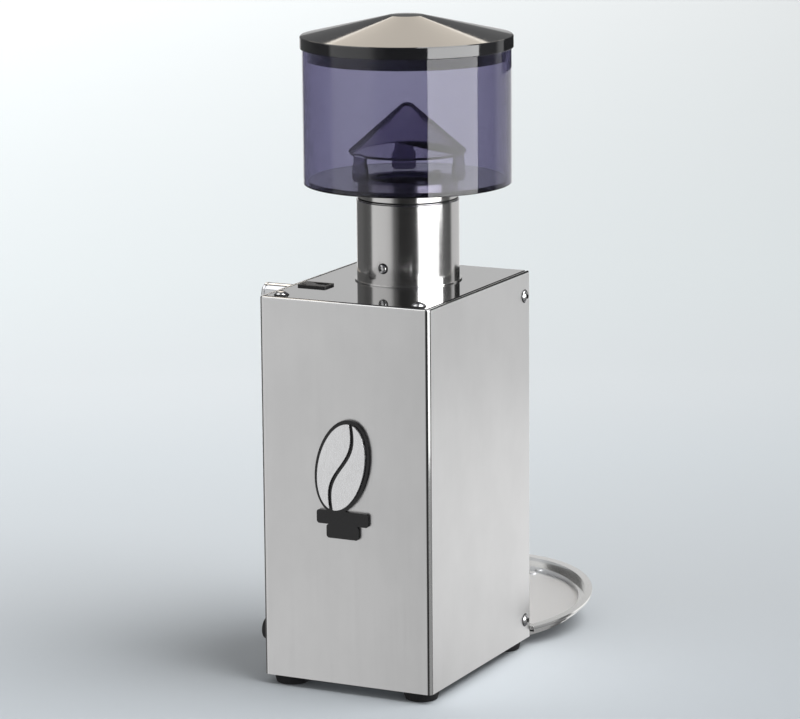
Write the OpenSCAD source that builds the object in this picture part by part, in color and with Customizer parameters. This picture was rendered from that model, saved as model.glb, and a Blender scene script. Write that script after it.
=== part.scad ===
// Coffee grinder: a folded steel case on rubber feet holds a motor, flat burrs and their adjuster.
// A steel neck carries a clear hopper, and the front has a spout, a fork and a round tray.
// The origin is on the table, under the middle of the case. The front faces -Y.

/* [Case] */
// Width of the case over its side walls
case_w = 120; // [116:1:132]
// Depth of the case from its front edge to its back wall
case_d = 152; // [150:1:170]
// Height of the case above its feet
case_h = 249; // [247:1:280]
// Thickness of the folded sheet
sheet = 1.2; // [0.8:0.1:1.4]
// Outer radius of the two folded back edges
edge_r = 3; // [3:0.5:8]
// Depth of the doubled edge along the top and the front of the walls
hem_h = 10; // [9:1:14]
// Thickness of the top plate
plate_t = 1.5; // [1:0.1:2]
// Gap round the top plate and the front panel
seam_gap = 0.3; // [0.2:0.1:0.6]
// Gap between the top plate and the hem round it
plate_gap = 0.8; // [0.3:0.1:1.2]
// Thickness of the base plate
base_t = 2; // [1.5:0.5:3]

/* [Feet] */
// Height of a rubber foot
foot_h = 6.5; // [6:0.5:12]
// Radius of a foot against the base plate
foot_top_r = 12; // [11:0.5:13]
// Radius of a foot on the table
foot_bottom_r = 10.5; // [9:0.5:12]
// Distance of a foot's middle from the nearest two walls
foot_inset = 13.5; // [13.5:0.5:18]

/* [Neck] */
// Distance from the front edge of the case to the grinding axis
axis_from_front = 58.3; // [58:0.1:62]
// Outer radius of the neck tube
neck_r = 33.4; // [33:0.1:37]
// Wall of the neck tube
neck_wall = 1.5; // [1:0.1:2]
// Height of the neck tube above the top plate
neck_h = 52.8; // [45:0.1:70]
// Height of the neck screw above the top plate
neck_screw_rise = 11.75; // [8:0.25:20]

/* [Hopper] */
// Radius of the steel collar under the hopper
collar_r = 32.5; // [32.3:0.1:33]
// Height of the collar's visible part
collar_h = 10.6; // [7:0.2:14]
// Outer radius of the hopper tube
hopper_r = 67.4; // [60:0.2:75]
// Wall of the hopper tube
hopper_wall = 3; // [2:0.5:4]
// Height of the hopper tube above its floor
hopper_h = 90.1; // [75:0.1:140]
// Thickness of the hopper floor
floor_t = 3; // [2:0.5:4]
// Radius of the opening that the beans fall through
throat_r = 24; // [20:0.5:25]

/* [Lid] */
// Radius of the lid's rim
lid_r = 68.8; // [68.6:0.1:70]
// Height of the lid's rim
rim_h = 7.8; // [6:0.2:12]
// Height of the lid's cone above its rim
cone_h = 13.4; // [8:0.2:30]
// Radius of the flat top of the cone
cone_top_r = 11.5; // [6:0.5:16]
// Depth of the lip that drops inside the hopper tube
lip_h = 13; // [6:0.5:20]

/* [Bean guard] */
// Radius of the guard cone's lower edge
guard_r = 38; // [34:0.5:45]
// Height of the guard cone
guard_h = 35; // [24:0.5:40]
// Height of the guard cone's lower edge above the hopper floor
guard_rise = 16.6; // [12:0.2:24]
// Wall of the guard cone
guard_t = 2; // [1.5:0.25:3]
// Width of a leg at its foot
leg_w = 16; // [12:0.5:20]

/* [Adjuster] */
// Distance from the grinding axis to the worm shaft's axis
worm_from_axis = 37.7; // [37.5:0.1:39]
// Depth of the worm shaft's axis under the top of the top plate
worm_drop = 9.3; // [9:0.1:12]
// Pitch radius of the worm
worm_pitch_r = 5.7; // [5.4:0.1:6]
// Teeth of the adjusting ring's wheel
wheel_teeth = 40; // [36:1:44]
// Face width of the wheel
wheel_face = 5; // [4:0.5:6]
// Length of the worm
worm_len = 18; // [16:1:20]
// Radius of the worm shaft
worm_shaft_r = 2.5; // [2:0.1:3]
// Radius of the adjusting knob
knob_r = 7; // [6.5:0.25:9]
// How far the knob stands out from the side wall
knob_reach = 25.2; // [20:0.2:35]

/* [Burrs] */
// Outer radius of the burrs
burr_r = 25; // [24:0.5:27]
// Radius of the opening in a burr
burr_bore_r = 14; // [12:0.5:15]
// Thickness of a burr
burr_t = 8; // [6:0.5:9]
// Gap between the burrs at the rest setting
burr_gap = 0.3; // [0.2:0.05:0.8]
// Grinding grooves on a burr
burr_grooves = 18; // [12:1:24]

/* [Chamber] */
// Outer radius of the grinding chamber
chamber_r = 38; // [37.5:0.5:42]
// Radius of the chamber's bore, where the upper carrier slides
chamber_bore_r = 32; // [31.5:0.5:33]
// Height of the grinding chamber
chamber_h = 55.5; // [54:0.5:62]
// Height of the pedestal between motor and chamber
pedestal_h = 22; // [18:1:24]
// Width of the chute that carries the grounds out
chute_w = 26; // [20:1:30]

/* [Motor] */
// Radius of the motor
motor_r = 40; // [38:0.5:42]
// Height of the stator's stack
stack_h = 70; // [55:1:72]
// Height of each end shield
shield_h = 16; // [16:0.5:20]
// Height of the rubber motor mounts
mount_h = 26; // [24:1:28]
// Radius of the rotor
rotor_r = 21.6; // [19:0.2:21.6]
// Radius of the motor shaft in its bearings
shaft_r = 5; // [4:0.5:5.5]

/* [Switch] */
// Length of the rocker switch's bezel, across the case
switch_w = 20.4; // [16:0.2:22]
// Width of the rocker switch's bezel, front to back
switch_d = 13.4; // [12:0.2:14]
// Distance of the switch's middle from the side wall with the knob
switch_in = 16.8; // [16:0.2:20]
// Distance of the switch's middle behind the knob's axis
switch_behind = 9.6; // [9.5:0.1:20]

/* [Front] */
// Width of the spout
spout_w = 34; // [30:1:40]
// Distance of the spout's mouth from the front panel
spout_reach = 47.6; // [40:0.2:55]
// Height of the fork's plate
fork_t = 3; // [2:0.5:5]
// Width of the fork over its arms
fork_w = 76; // [72:1:90]
// Width of the gap between the fork's arms
fork_gap = 62; // [58:1:66]
// Distance of the fork's top under the spout's mouth
fork_drop = 26; // [22:1:34]
// Radius of the dose button
button_r = 9; // [7:0.5:11]
// Travel of the dose button
button_travel = 3; // [2:0.5:3]

/* [Tray] */
// Radius of the tray over its rim
tray_r = 78; // [72:0.5:84]
// Distance of the tray's middle from the case's front edge
tray_reach = 47.3; // [44:0.1:54]
// How far the tray slopes up to its front, in degrees
tray_tilt = 6.5; // [3:0.5:8]
// Height of the tray's rim where it meets the case
tray_rim_z = 13; // [12.5:0.25:18]
// Depth of the tray
tray_depth = 9; // [7:0.5:9]
// Width of the tray's flat rim
tray_rim_w = 4; // [3.5:0.25:5]

/* [Badge place] */
// Distance of the badge from the middle of the back wall
badge_x = 1; // [-10:0.5:10]
// Width of the plain badge on the back wall
badge_w = 46; // [36:1:60]
// Height of the badge
badge_h = 81; // [50:1:100]
// Height of the badge's middle above the table
badge_z = 143.5; // [120:0.5:160]
// Thickness of the badge
badge_t = 2; // [1:0.25:3]

/* [Electrics] */
// Radius of the motor's run capacitor
capacitor_r = 17.5; // [14:0.5:18]
// Height of the run capacitor
capacitor_h = 78; // [60:1:100]
// Radius of the bore that the mains cord passes through
gland_bore_r = 3.5; // [3:0.25:4.5]
// Height of the gland's axis above the table
gland_z = 30; // [28:1:50]

/* [Hidden] */
$fn = 64;

// Fits: running, fixed, round a screw, round a loose piece, and the overrun of a cut
run_fit = 0.05;
seat_fit = 0.03;
screw_room = 0.1;
rest_gap = 0.3;
loose_gap = 0.6;
over = 0.5;

// Case
half_w = case_w / 2;
half_d = case_d / 2;
case_bottom = foot_h;
case_top = foot_h + case_h;
base_top = case_bottom + base_t;
hem_t = 2 * sheet;
panel_recess = sheet / 2;
panel_face = -half_d + panel_recess;
panel_back = panel_face + sheet;
panel_flange = 16;
plate_bottom = case_top - plate_t;
plate_fold = 7;
bracket_w = 16;
bracket_reach = 16;
bracket_drop = 22;
base_flange_h = 12;
vent_w = 4;
vent_pitch = 8;
vent_count = 5;
vent_l = 30;

// Case screws
side_head_r = 4.5;
side_head_h = 2.4;
side_shank_r = 2;
side_shank_l = 7;
side_inset = 8;
side_top_drop = 15.9;
side_bottom_rise = 13.2;
top_head_r = 5;
top_head_h = 2.8;
top_shank_l = 8;
top_screw_side = 11.5;
top_screw_x = half_w - top_screw_side;
top_screw_inset = 9.5;
socket_r = 1.7;
socket_depth = 1.3;

// Feet
foot_head_r = 4.5;
foot_head_h = 2.5;
foot_shank_r = 2;
foot_recess_share = 0.54;
foot_nut_r = 4;
foot_nut_h = 3.2;

// Neck and funnel
axis_y = -half_d + axis_from_front;
neck_in_r = neck_r - neck_wall;
neck_top = case_top + neck_h;
neck_foot_r = neck_r + neck_wall;
neck_foot_h = 1;
plate_hole_r = neck_in_r - neck_wall;
neck_screw_r = 1.5;
neck_head_r = 3.5;
neck_head_h = 2.2;
neck_screw_angle = 87;
funnel_t = 1.2;
funnel_lip = 1.5;
funnel_drop = 3;

// Hopper
spigot_r = neck_in_r - 2 * run_fit;
spigot_l = 46;
spigot_wall = 3.2;
collar_bottom = neck_top;
collar_chamfer = (collar_r - neck_in_r) / 2;
collar_foot = 2 * collar_chamfer;
collar_groove_h = 1;
collar_groove_in = 0.8;
floor_bottom = collar_bottom + collar_h;
floor_top = floor_bottom + floor_t;
tube_top = floor_top + hopper_h;
floor_screw_ring_r = 28;
floor_screw_angle = 133;
floor_screw_r = 1.5;
floor_head_r = 2.8;
floor_head_h = 1.6;

// Lid
lid_t = 2;
lid_edge = tube_top + lid_t + rest_gap;
lid_top = lid_edge + cone_h;
lip_t = 1.5;

// Bean guard
guard_base = floor_top + guard_rise;
guard_apex_r = 7;
guard_rim = 1.6;
leg_t = 2.2;
leg_top_share = 0.8;
leg_inset = 0.7;
leg_step_share = 0.6;
leg_chamfer = 2;
leg_count = 3;
leg_phase = 60;

// Adjuster: the wheel's module follows from its teeth, and the ring's bore from its root
wheel_pitch_r = worm_from_axis - worm_pitch_r;
tooth_size = 2 * wheel_pitch_r / wheel_teeth;
dedendum_share = 1.25;
thread_tip_share = 0.75;
tooth_root_share = 0.42;
tooth_tip_share = 0.19;
wheel_tip_r = wheel_pitch_r + tooth_size;
wheel_root_r = wheel_pitch_r - dedendum_share * tooth_size;
tooth_pitch = PI * tooth_size;
worm_tip_r = worm_pitch_r + thread_tip_share * tooth_size;
worm_root_r = worm_pitch_r - dedendum_share * tooth_size;
worm_y = axis_y + worm_from_axis;
worm_z = case_top - worm_drop;
wheel_bottom = worm_z - wheel_face / 2;
wheel_top = worm_z + wheel_face / 2;
nut_wall = 3;
sleeve_r = wheel_root_r - nut_wall;
sleeve_wall = 3.5;
sleeve_in_r = sleeve_r - sleeve_wall;
thread_fit = 0.15;
bush_wall = 1.3;
bush_flange = 3.4;
bush_flange_t = 1.5;
ear_t = 4;
ear_gap = 1;
ear_half_h = 6.2;
ear_in = worm_len / 2 + ear_gap;
ear_out = ear_in + ear_t;
collar_ring_t = 2;
collar_ring_r = 4.5;
knob_gap = 0.5;
knob_chamfer = 0.9;
knob_groove = 0.5;
knob_groove_w = 1.2;

// Motor
motor_bottom = base_top + mount_h;
stator_bottom = motor_bottom + shield_h;
stator_top = stator_bottom + stack_h;
motor_top = stator_top + shield_h;
shield_wall = 4;
bearing_r = 13;
bearing_h = 8;
bearing_floor = 2;
boss_r = bearing_r + shield_wall;
ear_ring_gap = 2.5;
ear_ring_r = motor_r + ear_ring_gap;
ear_r = 4.5;
ear_h = 6;
tie_r = 2;
tie_head_r = 3.6;
tie_head_h = 3;
air_gap = 0.4;
stator_bore_r = rotor_r + air_gap;
slot_r = 2.6;
slot_count = 12;
tip_t = 2;
slot_ring_r = stator_bore_r + slot_r + tip_t;
slot_gap = 0.3;
winding_in_r = stator_bore_r + tip_t;
winding_gap = 1.5;
winding_out_r = motor_r - shield_wall - winding_gap;
winding_h = 10;
winding_round = 3;
seat_step = 1;
rotor_seat_r = shaft_r + seat_step;
shaft_rise = 5;
shaft_bottom = base_top + shaft_rise;
end_ring_h = 4;
end_ring_in_share = 0.6;
mount_r = 7;
mount_gap = 2;
mount_ring_r = motor_r - mount_r - mount_gap;
mount_waist = 1.5;
mount_flange = 3;
mount_bore_r = 3;
mount_count = 4;
fan_r = mount_ring_r - mount_r - mount_gap;
fan_h = 9;
fan_disc_t = 1.5;
blade_root = 1;
fan_hub_r = 9;
fan_bottom = shaft_bottom + fan_disc_t;
blade_count = 9;
blade_t = 1.2;
ball_ring_r = 9;
ball_r = 1.9;
ball_gap = 0.1;
ball_count = 8;
shield_vent_r = 3.5;
shield_vent_count = 8;
shield_vent_ring_r = (boss_r + motor_r - shield_wall) / 2;

// Chamber, from the motor up
chamber_bottom = motor_top + pedestal_h;
chamber_floor_t = 5;
chamber_floor = chamber_bottom + chamber_floor_t;
chamber_top = chamber_bottom + chamber_h;
pedestal_r = 24;
pedestal_in_r = 14;
pedestal_flange_r = 34;
pedestal_flange_t = 5;
pedestal_bolt_ring_r = 29;
carrier_gap = 2;
lower_carrier_t = 8;
carrier_rim = 3;
lower_carrier_r = burr_r + carrier_rim;
sweep_gap = 1.5;
sweep_r = chamber_bore_r - sweep_gap;
vane_w = 6;
vane_count = 3;
hub_r = 9;
burr_boss_h = 4;
lower_burr_bottom = chamber_floor + carrier_gap + lower_carrier_t;
lower_burr_top = lower_burr_bottom + burr_t;
upper_burr_bottom = lower_burr_top + burr_gap;
upper_burr_top = upper_burr_bottom + burr_t;
upper_flange_h = 14;
upper_flange_top = upper_burr_top + upper_flange_h;
upper_flange_r = chamber_bore_r - run_fit;
carrier_drop = 1;
carrier_top = wheel_top - carrier_drop;
key_w = 6;
key_reach = 2.6;
groove_depth = 1.2;
groove_w = 1.4;
groove_angle = 25;
burr_screw_ring_r = (burr_r + burr_bore_r) / 2;
burr_screw_r = 1.5;
burr_head_r = 2.8;
burr_head_h = 2.5;
burr_screw_l = 12;
burr_screw_count = 3;
cap_t = 6;
cap_top = chamber_top + cap_t;
cap_tab_w = 15;
cap_tab_reach = 12;
nut_flange_w = 6;
nut_flange_r = sleeve_r + nut_flange_w;
nut_flange_h = 3;
nut_bottom = cap_top + rest_gap;
retainer_low_h = nut_flange_h + 2 * rest_gap;
retainer_lip_h = 2.5;
retainer_top = cap_top + retainer_low_h + retainer_lip_h;
nut_hub_r = wheel_root_r - rest_gap;
bolt_ring_r = (nut_flange_r + chamber_r) / 2;
bolt_r = 1.5;
bolt_head_r = 2.6;
bolt_head_h = 3;
bolt_into_wall = 14;
bolt_spare = 1;
bolt_count = 4;
bolt_phase = 45;
spring_wall = 2;

// Chute and spout, both cut from one side outline
chute_room = 3;
chute_drop = 6.5;
chute_h = 19;
chute_top = chamber_floor + chute_h - chute_drop;
chute_front = chamber_floor - chute_drop;
duct_end = panel_back + rest_gap;
spout_wall = 4;
spout_mouth_half = 9.5;
spout_drop = 17;
spout_mouth_z = chute_front - spout_drop;
spout_y = panel_face - spout_reach;
spout_flange_w = 50;
spout_flange_t = 3;
spout_nose_share = 0.45;

// Fork
fork_z = spout_mouth_z - fork_drop;
fork_root = 8.4;
fork_past = 7.6;
fork_l = fork_root + fork_gap / 2 + fork_past;
fork_corner = 6;
fork_flange_h = 18;
fork_lip_h = 4;
fork_lip_l = 3;
front_screw_r = 2;
front_head_r = 3.8;
front_head_h = 2.2;
front_screw_l = 6;
fork_screw_in = 9;
fork_screw_x = fork_w / 2 - fork_screw_in;
spout_screw_x = spout_flange_w / 2 - front_head_r - seam_gap;

// Dose button
button_lift = 2;
button_z = (spout_mouth_z + fork_z) / 2 + button_lift;
bezel_rim = 3;
bezel_r = button_r + bezel_rim;
bezel_t = 2;
button_out = 8.5;
cap_edge = 1;
stem_r = 3;
stem_reach = 1.5;
stem_end = panel_back + stem_reach;
guide_wall = 1.6;
guide_l = 4;
micro_w = 20;
micro_h = 11;
micro_d = 6;
plunger_r = 1.2;
plunger_l = 1.5;
cheek_t = 2;

// Tray
tray_t = 1;
tray_curl_r = 1.2;
tray_ledge = 4.5;
tray_step_share = 0.5;
tray_back_gap = 0.7;
rail_w = 90;
rail_t = 1;
rail_z = case_bottom;
rail_front = -half_d - tray_back_gap - tray_t - 2 * rest_gap - rail_t;
rail_h = tray_rim_z - tray_t - rail_z - 2 * rest_gap;
nub_r = 3;
nub_h = 0.8;
nub_across = -12;
nub_in = 6;

// Badge
badge_rim = 2.5;
bar_h = 9;
bar_w_share = 0.8;
foot_bar_w_share = 0.5;
bean_w = badge_w - 2 * badge_rim - bar_h;
bean_l = badge_h - 2 * badge_rim - 2 * bar_h;
bean_lean = -14;
badge_bean_y = badge_h / 2 - 2 * badge_rim - bean_l / 2;
badge_bar_y = -badge_h / 2 + 3 * bar_h / 2;
relief_t = 1.6;
relief_split = 2.6;
badge_pin_r = 1.5;

// Electrics
capacitor_side = 33;
capacitor_x = -half_w + capacitor_side;
capacitor_inset = 26;
capacitor_round = 3;
clip_t = 1.2;
clip_w = 14;
clip_gap = 0.3;
tag_w = 6;
tag_t = 0.8;
tag_h = 8;
board_w = 60;
board_h = 70;
board_t = 1.6;
board_z = 175;
standoff_r = 3;
standoff_l = 7;
relay_w = 28;
relay_h = 13;
relay_d = 16;
choke_r = 8;
choke_h = 14;
terminal_w = 30;
terminal_h = 10;
terminal_d = 12;
gland_in = 24;
gland_y = half_d - gland_in;
gland_r = 9;
gland_l = 11;
gland_thread_r = 7;
gland_nut_r = 10.5;
gland_nut_t = 4;

// Rocker switch
switch_x = half_w - switch_in;
switch_y = worm_y + switch_behind;
switch_rim_h = 1.2;
switch_rim = 1.4;
switch_body_inset = 0.9;
switch_body_h = 14;
switch_wall = 1.2;
switch_well = 6;
rocker_gap = 0.3;
rocker_rise = 2;
rocker_tilt = 5;
rocker_pin_r = 1;
pivot_drop = 1.2;
rocker_pivot_z = case_top - pivot_drop;
tab_w = 4.8;
tab_t = 0.8;
tab_l = 6;

// Shapes that several pieces share

module ring(r_out, r_in, h) {
    difference() {
        cylinder(r = r_out, h = h);
        up(-over) cylinder(r = r_in, h = h + 2 * over);
    }
}

module on_axis(z = 0) {
    translate([0, axis_y, z]) children();
}

module up(z) {
    translate([0, 0, z]) children();
}

module around(radius, count, phase = 0) {
    for (i = [0:count - 1]) rotate(phase + i * 360 / count) translate([radius, 0, 0]) children();
}

module four_corners(x, y) {
    for (sx = [-1, 1], sy = [-1, 1]) translate([sx * x, sy * y, 0]) children();
}

module rounded_plan(w, d, r) {
    square([w - 2 * r, d], center = true);
    square([w, d - 2 * r], center = true);
    four_corners(w / 2 - r, d / 2 - r) circle(r = r);
}

module block(w, d, h) {
    translate([-w / 2, -d / 2, 0]) cube([w, d, h]);
}

// A domed screw with a hexagon socket. Its head's underside lies at zero
module dome_screw(head_r, head_h, shank_r, shank_l) {
    dome_r = (head_r * head_r + head_h * head_h) / (2 * head_h);
    difference() {
        intersection() {
            up(head_h - dome_r) sphere(r = dome_r);
            cylinder(r = head_r, h = head_h);
        }
        up(head_h - socket_depth) cylinder(r = socket_r, h = socket_depth + over, $fn = 6);
    }
    up(-shank_l) cylinder(r = shank_r, h = shank_l);
}

// A flat headed screw with a slot
module flat_screw(head_r, head_h, shank_r, shank_l) {
    difference() {
        cylinder(r = head_r, h = head_h);
        translate([-head_r - over, -head_r / 8, head_h / 2])
            cube([2 * head_r + 2 * over, head_r / 4, head_h]);
    }
    up(-shank_l) cylinder(r = shank_r, h = shank_l);
}

// Plan of the walls, a given distance in from their outer face
module wall_plan(inset, front = 0) {
    w = half_w - inset;
    r = edge_r - inset;
    translate([-w, -half_d - front]) square([2 * w, case_d - edge_r + front]);
    translate([-w + r, -half_d - front]) square([2 * (w - r), case_d - inset + front]);
    for (s = [-1, 1]) translate([s * (w - r), half_d - edge_r]) circle(r = r);
}

module at_side_screws() {
    for (s = [-1, 1], z = [case_bottom + side_bottom_rise, case_top - side_top_drop])
        translate([s * half_w, -half_d + side_inset, z]) rotate([0, s * 90, 0]) children();
}

module at_top_screws() {
    for (s = [-1, 1]) translate([s * top_screw_x, half_d - top_screw_inset, case_top]) children();
}

module at_feet() {
    four_corners(half_w - foot_inset, half_d - foot_inset) children();
}

module along_worm(x = 0) {
    translate([x, worm_y, worm_z]) rotate([0, 90, 0]) children();
}

// Case

module casing_wrap() {
    color("silver") difference() {
        union() {
            translate([0, sheet, case_bottom]) linear_extrude(case_h - sheet) intersection() {
                translate([0, -sheet]) difference() {
                    wall_plan(0);
                    wall_plan(sheet, over);
                }
                translate([-case_w, -half_d]) square([2 * case_w, 2 * case_d]);
            }
            up(case_top - hem_h) linear_extrude(hem_h - sheet) intersection() {
                difference() {
                    wall_plan(sheet);
                    wall_plan(hem_t, over);
                }
                translate([-case_w, -half_d + sheet]) square([2 * case_w, 2 * case_d]);
            }
            for (s = [-1, 1]) {
                translate([s * (half_w - sheet - sheet / 2) - sheet / 2, -half_d + sheet, case_bottom])
                    cube([sheet, hem_h - sheet, case_h - sheet]);
                translate([s * (half_w - sheet), -half_d + sheet, case_bottom])
                    cylinder(r = sheet, h = case_h - sheet);
                translate([s * (half_w - sheet), -half_d + sheet, case_top - sheet]) sphere(r = sheet);
                translate([s * (half_w - sheet), -half_d + sheet, case_top - sheet]) rotate([-90, 0, 0])
                    cylinder(r = sheet, h = case_d - edge_r - sheet);
                translate([s * (half_w - edge_r), half_d - edge_r, case_top - sheet])
                    rotate([0, 0, s > 0 ? 0 : 90]) rotate_extrude(angle = 90)
                        translate([edge_r - sheet, 0]) circle(r = sheet, $fn = 32);
            }
            translate([-half_w + edge_r, half_d - sheet, case_top - sheet]) rotate([0, 90, 0])
                cylinder(r = sheet, h = case_w - 2 * edge_r);
        }
        at_side_screws() up(-hem_t - over)
            cylinder(r = side_shank_r + screw_room, h = hem_t + 2 * over);
        along_worm(half_w - hem_t - over)
            cylinder(r = worm_shaft_r + bush_wall + screw_room, h = hem_t + 2 * over);
        translate([half_w - hem_t - over, gland_y, gland_z]) rotate([0, 90, 0])
            cylinder(r = gland_thread_r + screw_room, h = hem_t + 2 * over);
        at_badge_pins() cylinder(r = badge_pin_r + screw_room, h = sheet + 2 * over);
    }
}

module front_panel() {
    inner_w = half_w - hem_t - seam_gap;
    top = plate_bottom - rest_gap;
    color("silver") difference() {
        union() {
            translate([-inner_w, panel_face, case_bottom]) cube([2 * inner_w, sheet, top - case_bottom]);
            for (s = [-1, 1]) translate([s * (inner_w - sheet / 2) - sheet / 2, panel_face, case_bottom])
                cube([sheet, panel_flange, top - case_bottom - plate_fold]);
            translate([-rail_w / 2, rail_front, rail_z]) cube([rail_w, panel_back - rail_front, rail_t]);
            translate([-rail_w / 2, rail_front, rail_z]) cube([rail_w, rail_t, rail_h]);
        }
        at_side_screws() up(-side_shank_l)
            cylinder(r = side_shank_r + screw_room, h = side_shank_l);
        translate([-chute_w / 2, panel_face - over, chute_front])
            cube([chute_w, sheet + 2 * over, chute_top - chute_front]);
        at_front_screws() up(-front_screw_l - over)
            cylinder(r = front_screw_r + screw_room, h = front_screw_l + 2 * over);
        translate([0, panel_face - over, button_z]) rotate([-90, 0, 0])
            cylinder(r = button_r + guide_wall + screw_room, h = sheet + 2 * over);
    }
}

module top_plate() {
    w = case_w - 2 * (hem_t + plate_gap);
    d = case_d - hem_t - seam_gap - plate_gap;
    color("gainsboro") difference() {
        union() {
            translate([-w / 2, -half_d + seam_gap, plate_bottom]) cube([w, d, plate_t]);
            for (s = [-1, 1]) translate([s * (w / 2 - sheet / 2) - sheet / 2, panel_back + rest_gap,
                plate_bottom - plate_fold])
                cube([sheet, case_d / 2, plate_fold]);
        }
        on_axis(plate_bottom - over) cylinder(r = plate_hole_r, h = plate_t + 2 * over);
        at_top_screws() up(-plate_t - over)
            cylinder(r = side_shank_r + screw_room, h = plate_t + 2 * over);
        translate([switch_x, switch_y, plate_bottom - over])
            block(switch_w - 2 * switch_body_inset + 2 * screw_room,
                switch_d - 2 * switch_body_inset + 2 * screw_room,
                  plate_t + 2 * over);
        along_worm(half_w - hem_t - seam_gap - 2 * sheet)
            cylinder(r = worm_shaft_r + bush_wall + bush_flange + rest_gap, h = 3 * sheet);
    }
}

module base_plate() {
    front = panel_back + seam_gap;
    back = half_d - sheet - seam_gap;
    w = case_w - 2 * sheet - 2 * seam_gap;
    narrow_w = w - 2 * (hem_t + seam_gap);
    wide_front = panel_face + panel_flange + seam_gap;
    color("darkgray") difference() {
        union() {
            translate([-narrow_w / 2, front, case_bottom]) cube([narrow_w, back - front, base_t]);
            translate([-w / 2, wide_front, case_bottom]) cube([w, back - wide_front, base_t]);
            for (s = [-1, 1]) translate([s * (w / 2 - sheet / 2) - sheet / 2,
                -half_d + panel_flange + hem_h, case_bottom])
                cube([sheet, case_d - panel_flange - 3 * hem_h, base_flange_h]);
            translate([-w / 2 + edge_r, back - sheet, case_bottom])
                cube([w - 2 * edge_r, sheet, base_flange_h]);
        }
        at_feet() up(case_bottom - over)
            cylinder(r = foot_shank_r + screw_room, h = base_t + 2 * over);
        for (i = [0:vent_count - 1])
            translate([-vent_l / 2, axis_y + (i - (vent_count - 1) / 2) * vent_pitch - vent_w / 2,
                case_bottom - over])
                cube([vent_l, vent_w, base_t + 2 * over]);
        translate([half_w - 2 * hem_t - over, gland_y, gland_z]) rotate([0, 90, 0])
            cylinder(r = gland_nut_r + rest_gap, h = 2 * hem_t);
        for (s = [-1, 1]) translate([s * (half_w - edge_r - seam_gap), half_d - edge_r - seam_gap,
            case_bottom - over])
            difference() {
                translate([s > 0 ? 0 : -edge_r, 0, 0]) cube([edge_r, edge_r, base_t + 2 * over]);
                cylinder(r = edge_r - sheet, h = 3 * base_t + 2 * over);
            }
    }
}

// Two angle brackets inside the back wall take the top plate's screws
module plate_brackets() {
    back = half_d - hem_t;
    color("darkgray") difference() {
        for (s = [-1, 1]) {
            translate([s * top_screw_x - bracket_w / 2, back - bracket_reach, plate_bottom - base_t])
                cube([bracket_w, bracket_reach, base_t]);
            translate([s * top_screw_x - bracket_w / 2, back - base_t, plate_bottom - bracket_drop])
                cube([bracket_w, base_t, bracket_drop]);
        }
        at_top_screws() up(-plate_t - 2 * base_t)
            cylinder(r = side_shank_r + screw_room, h = 3 * base_t);
    }
}

module rubber_feet() {
    recess_h = foot_h * foot_recess_share;
    color("#1c1c1e") at_feet() difference() {
        cylinder(r1 = foot_bottom_r, r2 = foot_top_r, h = foot_h);
        up(-over) cylinder(r = foot_head_r + rest_gap, h = recess_h + over);
        up(-over) cylinder(r = foot_shank_r + screw_room, h = foot_h + 2 * over);
    }
}

module foot_screws() {
    recess_h = foot_h * foot_recess_share;
    shank_l = foot_h - recess_h + base_t + foot_nut_h + sheet;
    color("silver") at_feet() {
        up(recess_h) rotate([180, 0, 0])
            flat_screw(foot_head_r, foot_head_h, foot_shank_r, shank_l);
        up(base_top) difference() {
            cylinder(r = foot_nut_r, h = foot_nut_h, $fn = 6);
            up(-over) cylinder(r = foot_shank_r + screw_room, h = foot_nut_h + 2 * over);
        }
    }
}

module side_screws() {
    color("gainsboro") at_side_screws() dome_screw(side_head_r, side_head_h, side_shank_r, side_shank_l);
}

module top_screws() {
    color("gainsboro") at_top_screws() dome_screw(top_head_r, top_head_h, side_shank_r, top_shank_l);
}

// Neck

module neck_tube() {
    color("silver") difference() {
        on_axis(case_top) {
            ring(neck_r, neck_in_r, neck_h);
            ring(neck_foot_r, neck_in_r, neck_foot_h);
        }
        at_neck_screw() up(-2 * neck_wall)
            cylinder(r = neck_screw_r + screw_room, h = 4 * neck_wall);
    }
}

module at_neck_screw() {
    on_axis(case_top + neck_screw_rise) rotate([0, 0, neck_screw_angle]) translate([neck_r, 0, 0])
        rotate([0, 90, 0]) children();
}

module neck_screw() {
    flat_room = neck_head_r * neck_head_r / neck_r / 2;
    color("gainsboro") at_neck_screw() up(flat_room / 2 + run_fit)
        dome_screw(neck_head_r, neck_head_h, neck_screw_r, neck_wall);
}

module bean_funnel() {
    mouth_r = neck_in_r - rest_gap;
    body_r = plate_hole_r - rest_gap;
    end_r = sleeve_in_r - loose_gap;
    end_z = carrier_top - funnel_drop;
    color("#2a2a2c") on_axis() rotate_extrude() polygon([
        [mouth_r, case_top], [mouth_r, case_top + funnel_lip], [body_r - funnel_t, case_top + funnel_lip],
        [end_r - funnel_t, plate_bottom - funnel_t], [end_r - funnel_t, end_z], [end_r, end_z],
        [end_r, plate_bottom - 2 * funnel_t], [body_r, plate_bottom], [body_r, case_top]
    ]);
}

// Hopper

module hopper_collar() {
    color("silver") difference() {
        on_axis() rotate_extrude() polygon([
            [throat_r, floor_bottom], [collar_r, floor_bottom],
            [collar_r, collar_bottom + collar_foot + collar_groove_h],
            [collar_r - collar_groove_in, collar_bottom + collar_foot + collar_groove_h],
            [collar_r - collar_groove_in, collar_bottom + collar_foot],
            [collar_r, collar_bottom + collar_foot], [collar_r, collar_bottom + collar_chamfer],
            [collar_r - collar_chamfer / 2, collar_bottom], [spigot_r, collar_bottom],
                [spigot_r, neck_top - spigot_l], [spigot_r - spigot_wall, neck_top - spigot_l],
            [spigot_r - spigot_wall, collar_bottom], [throat_r, collar_bottom + spigot_wall]
        ]);
        at_floor_screws() up(-collar_h + spigot_wall)
            cylinder(r = floor_screw_r + screw_room, h = collar_h);
    }
}

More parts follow.
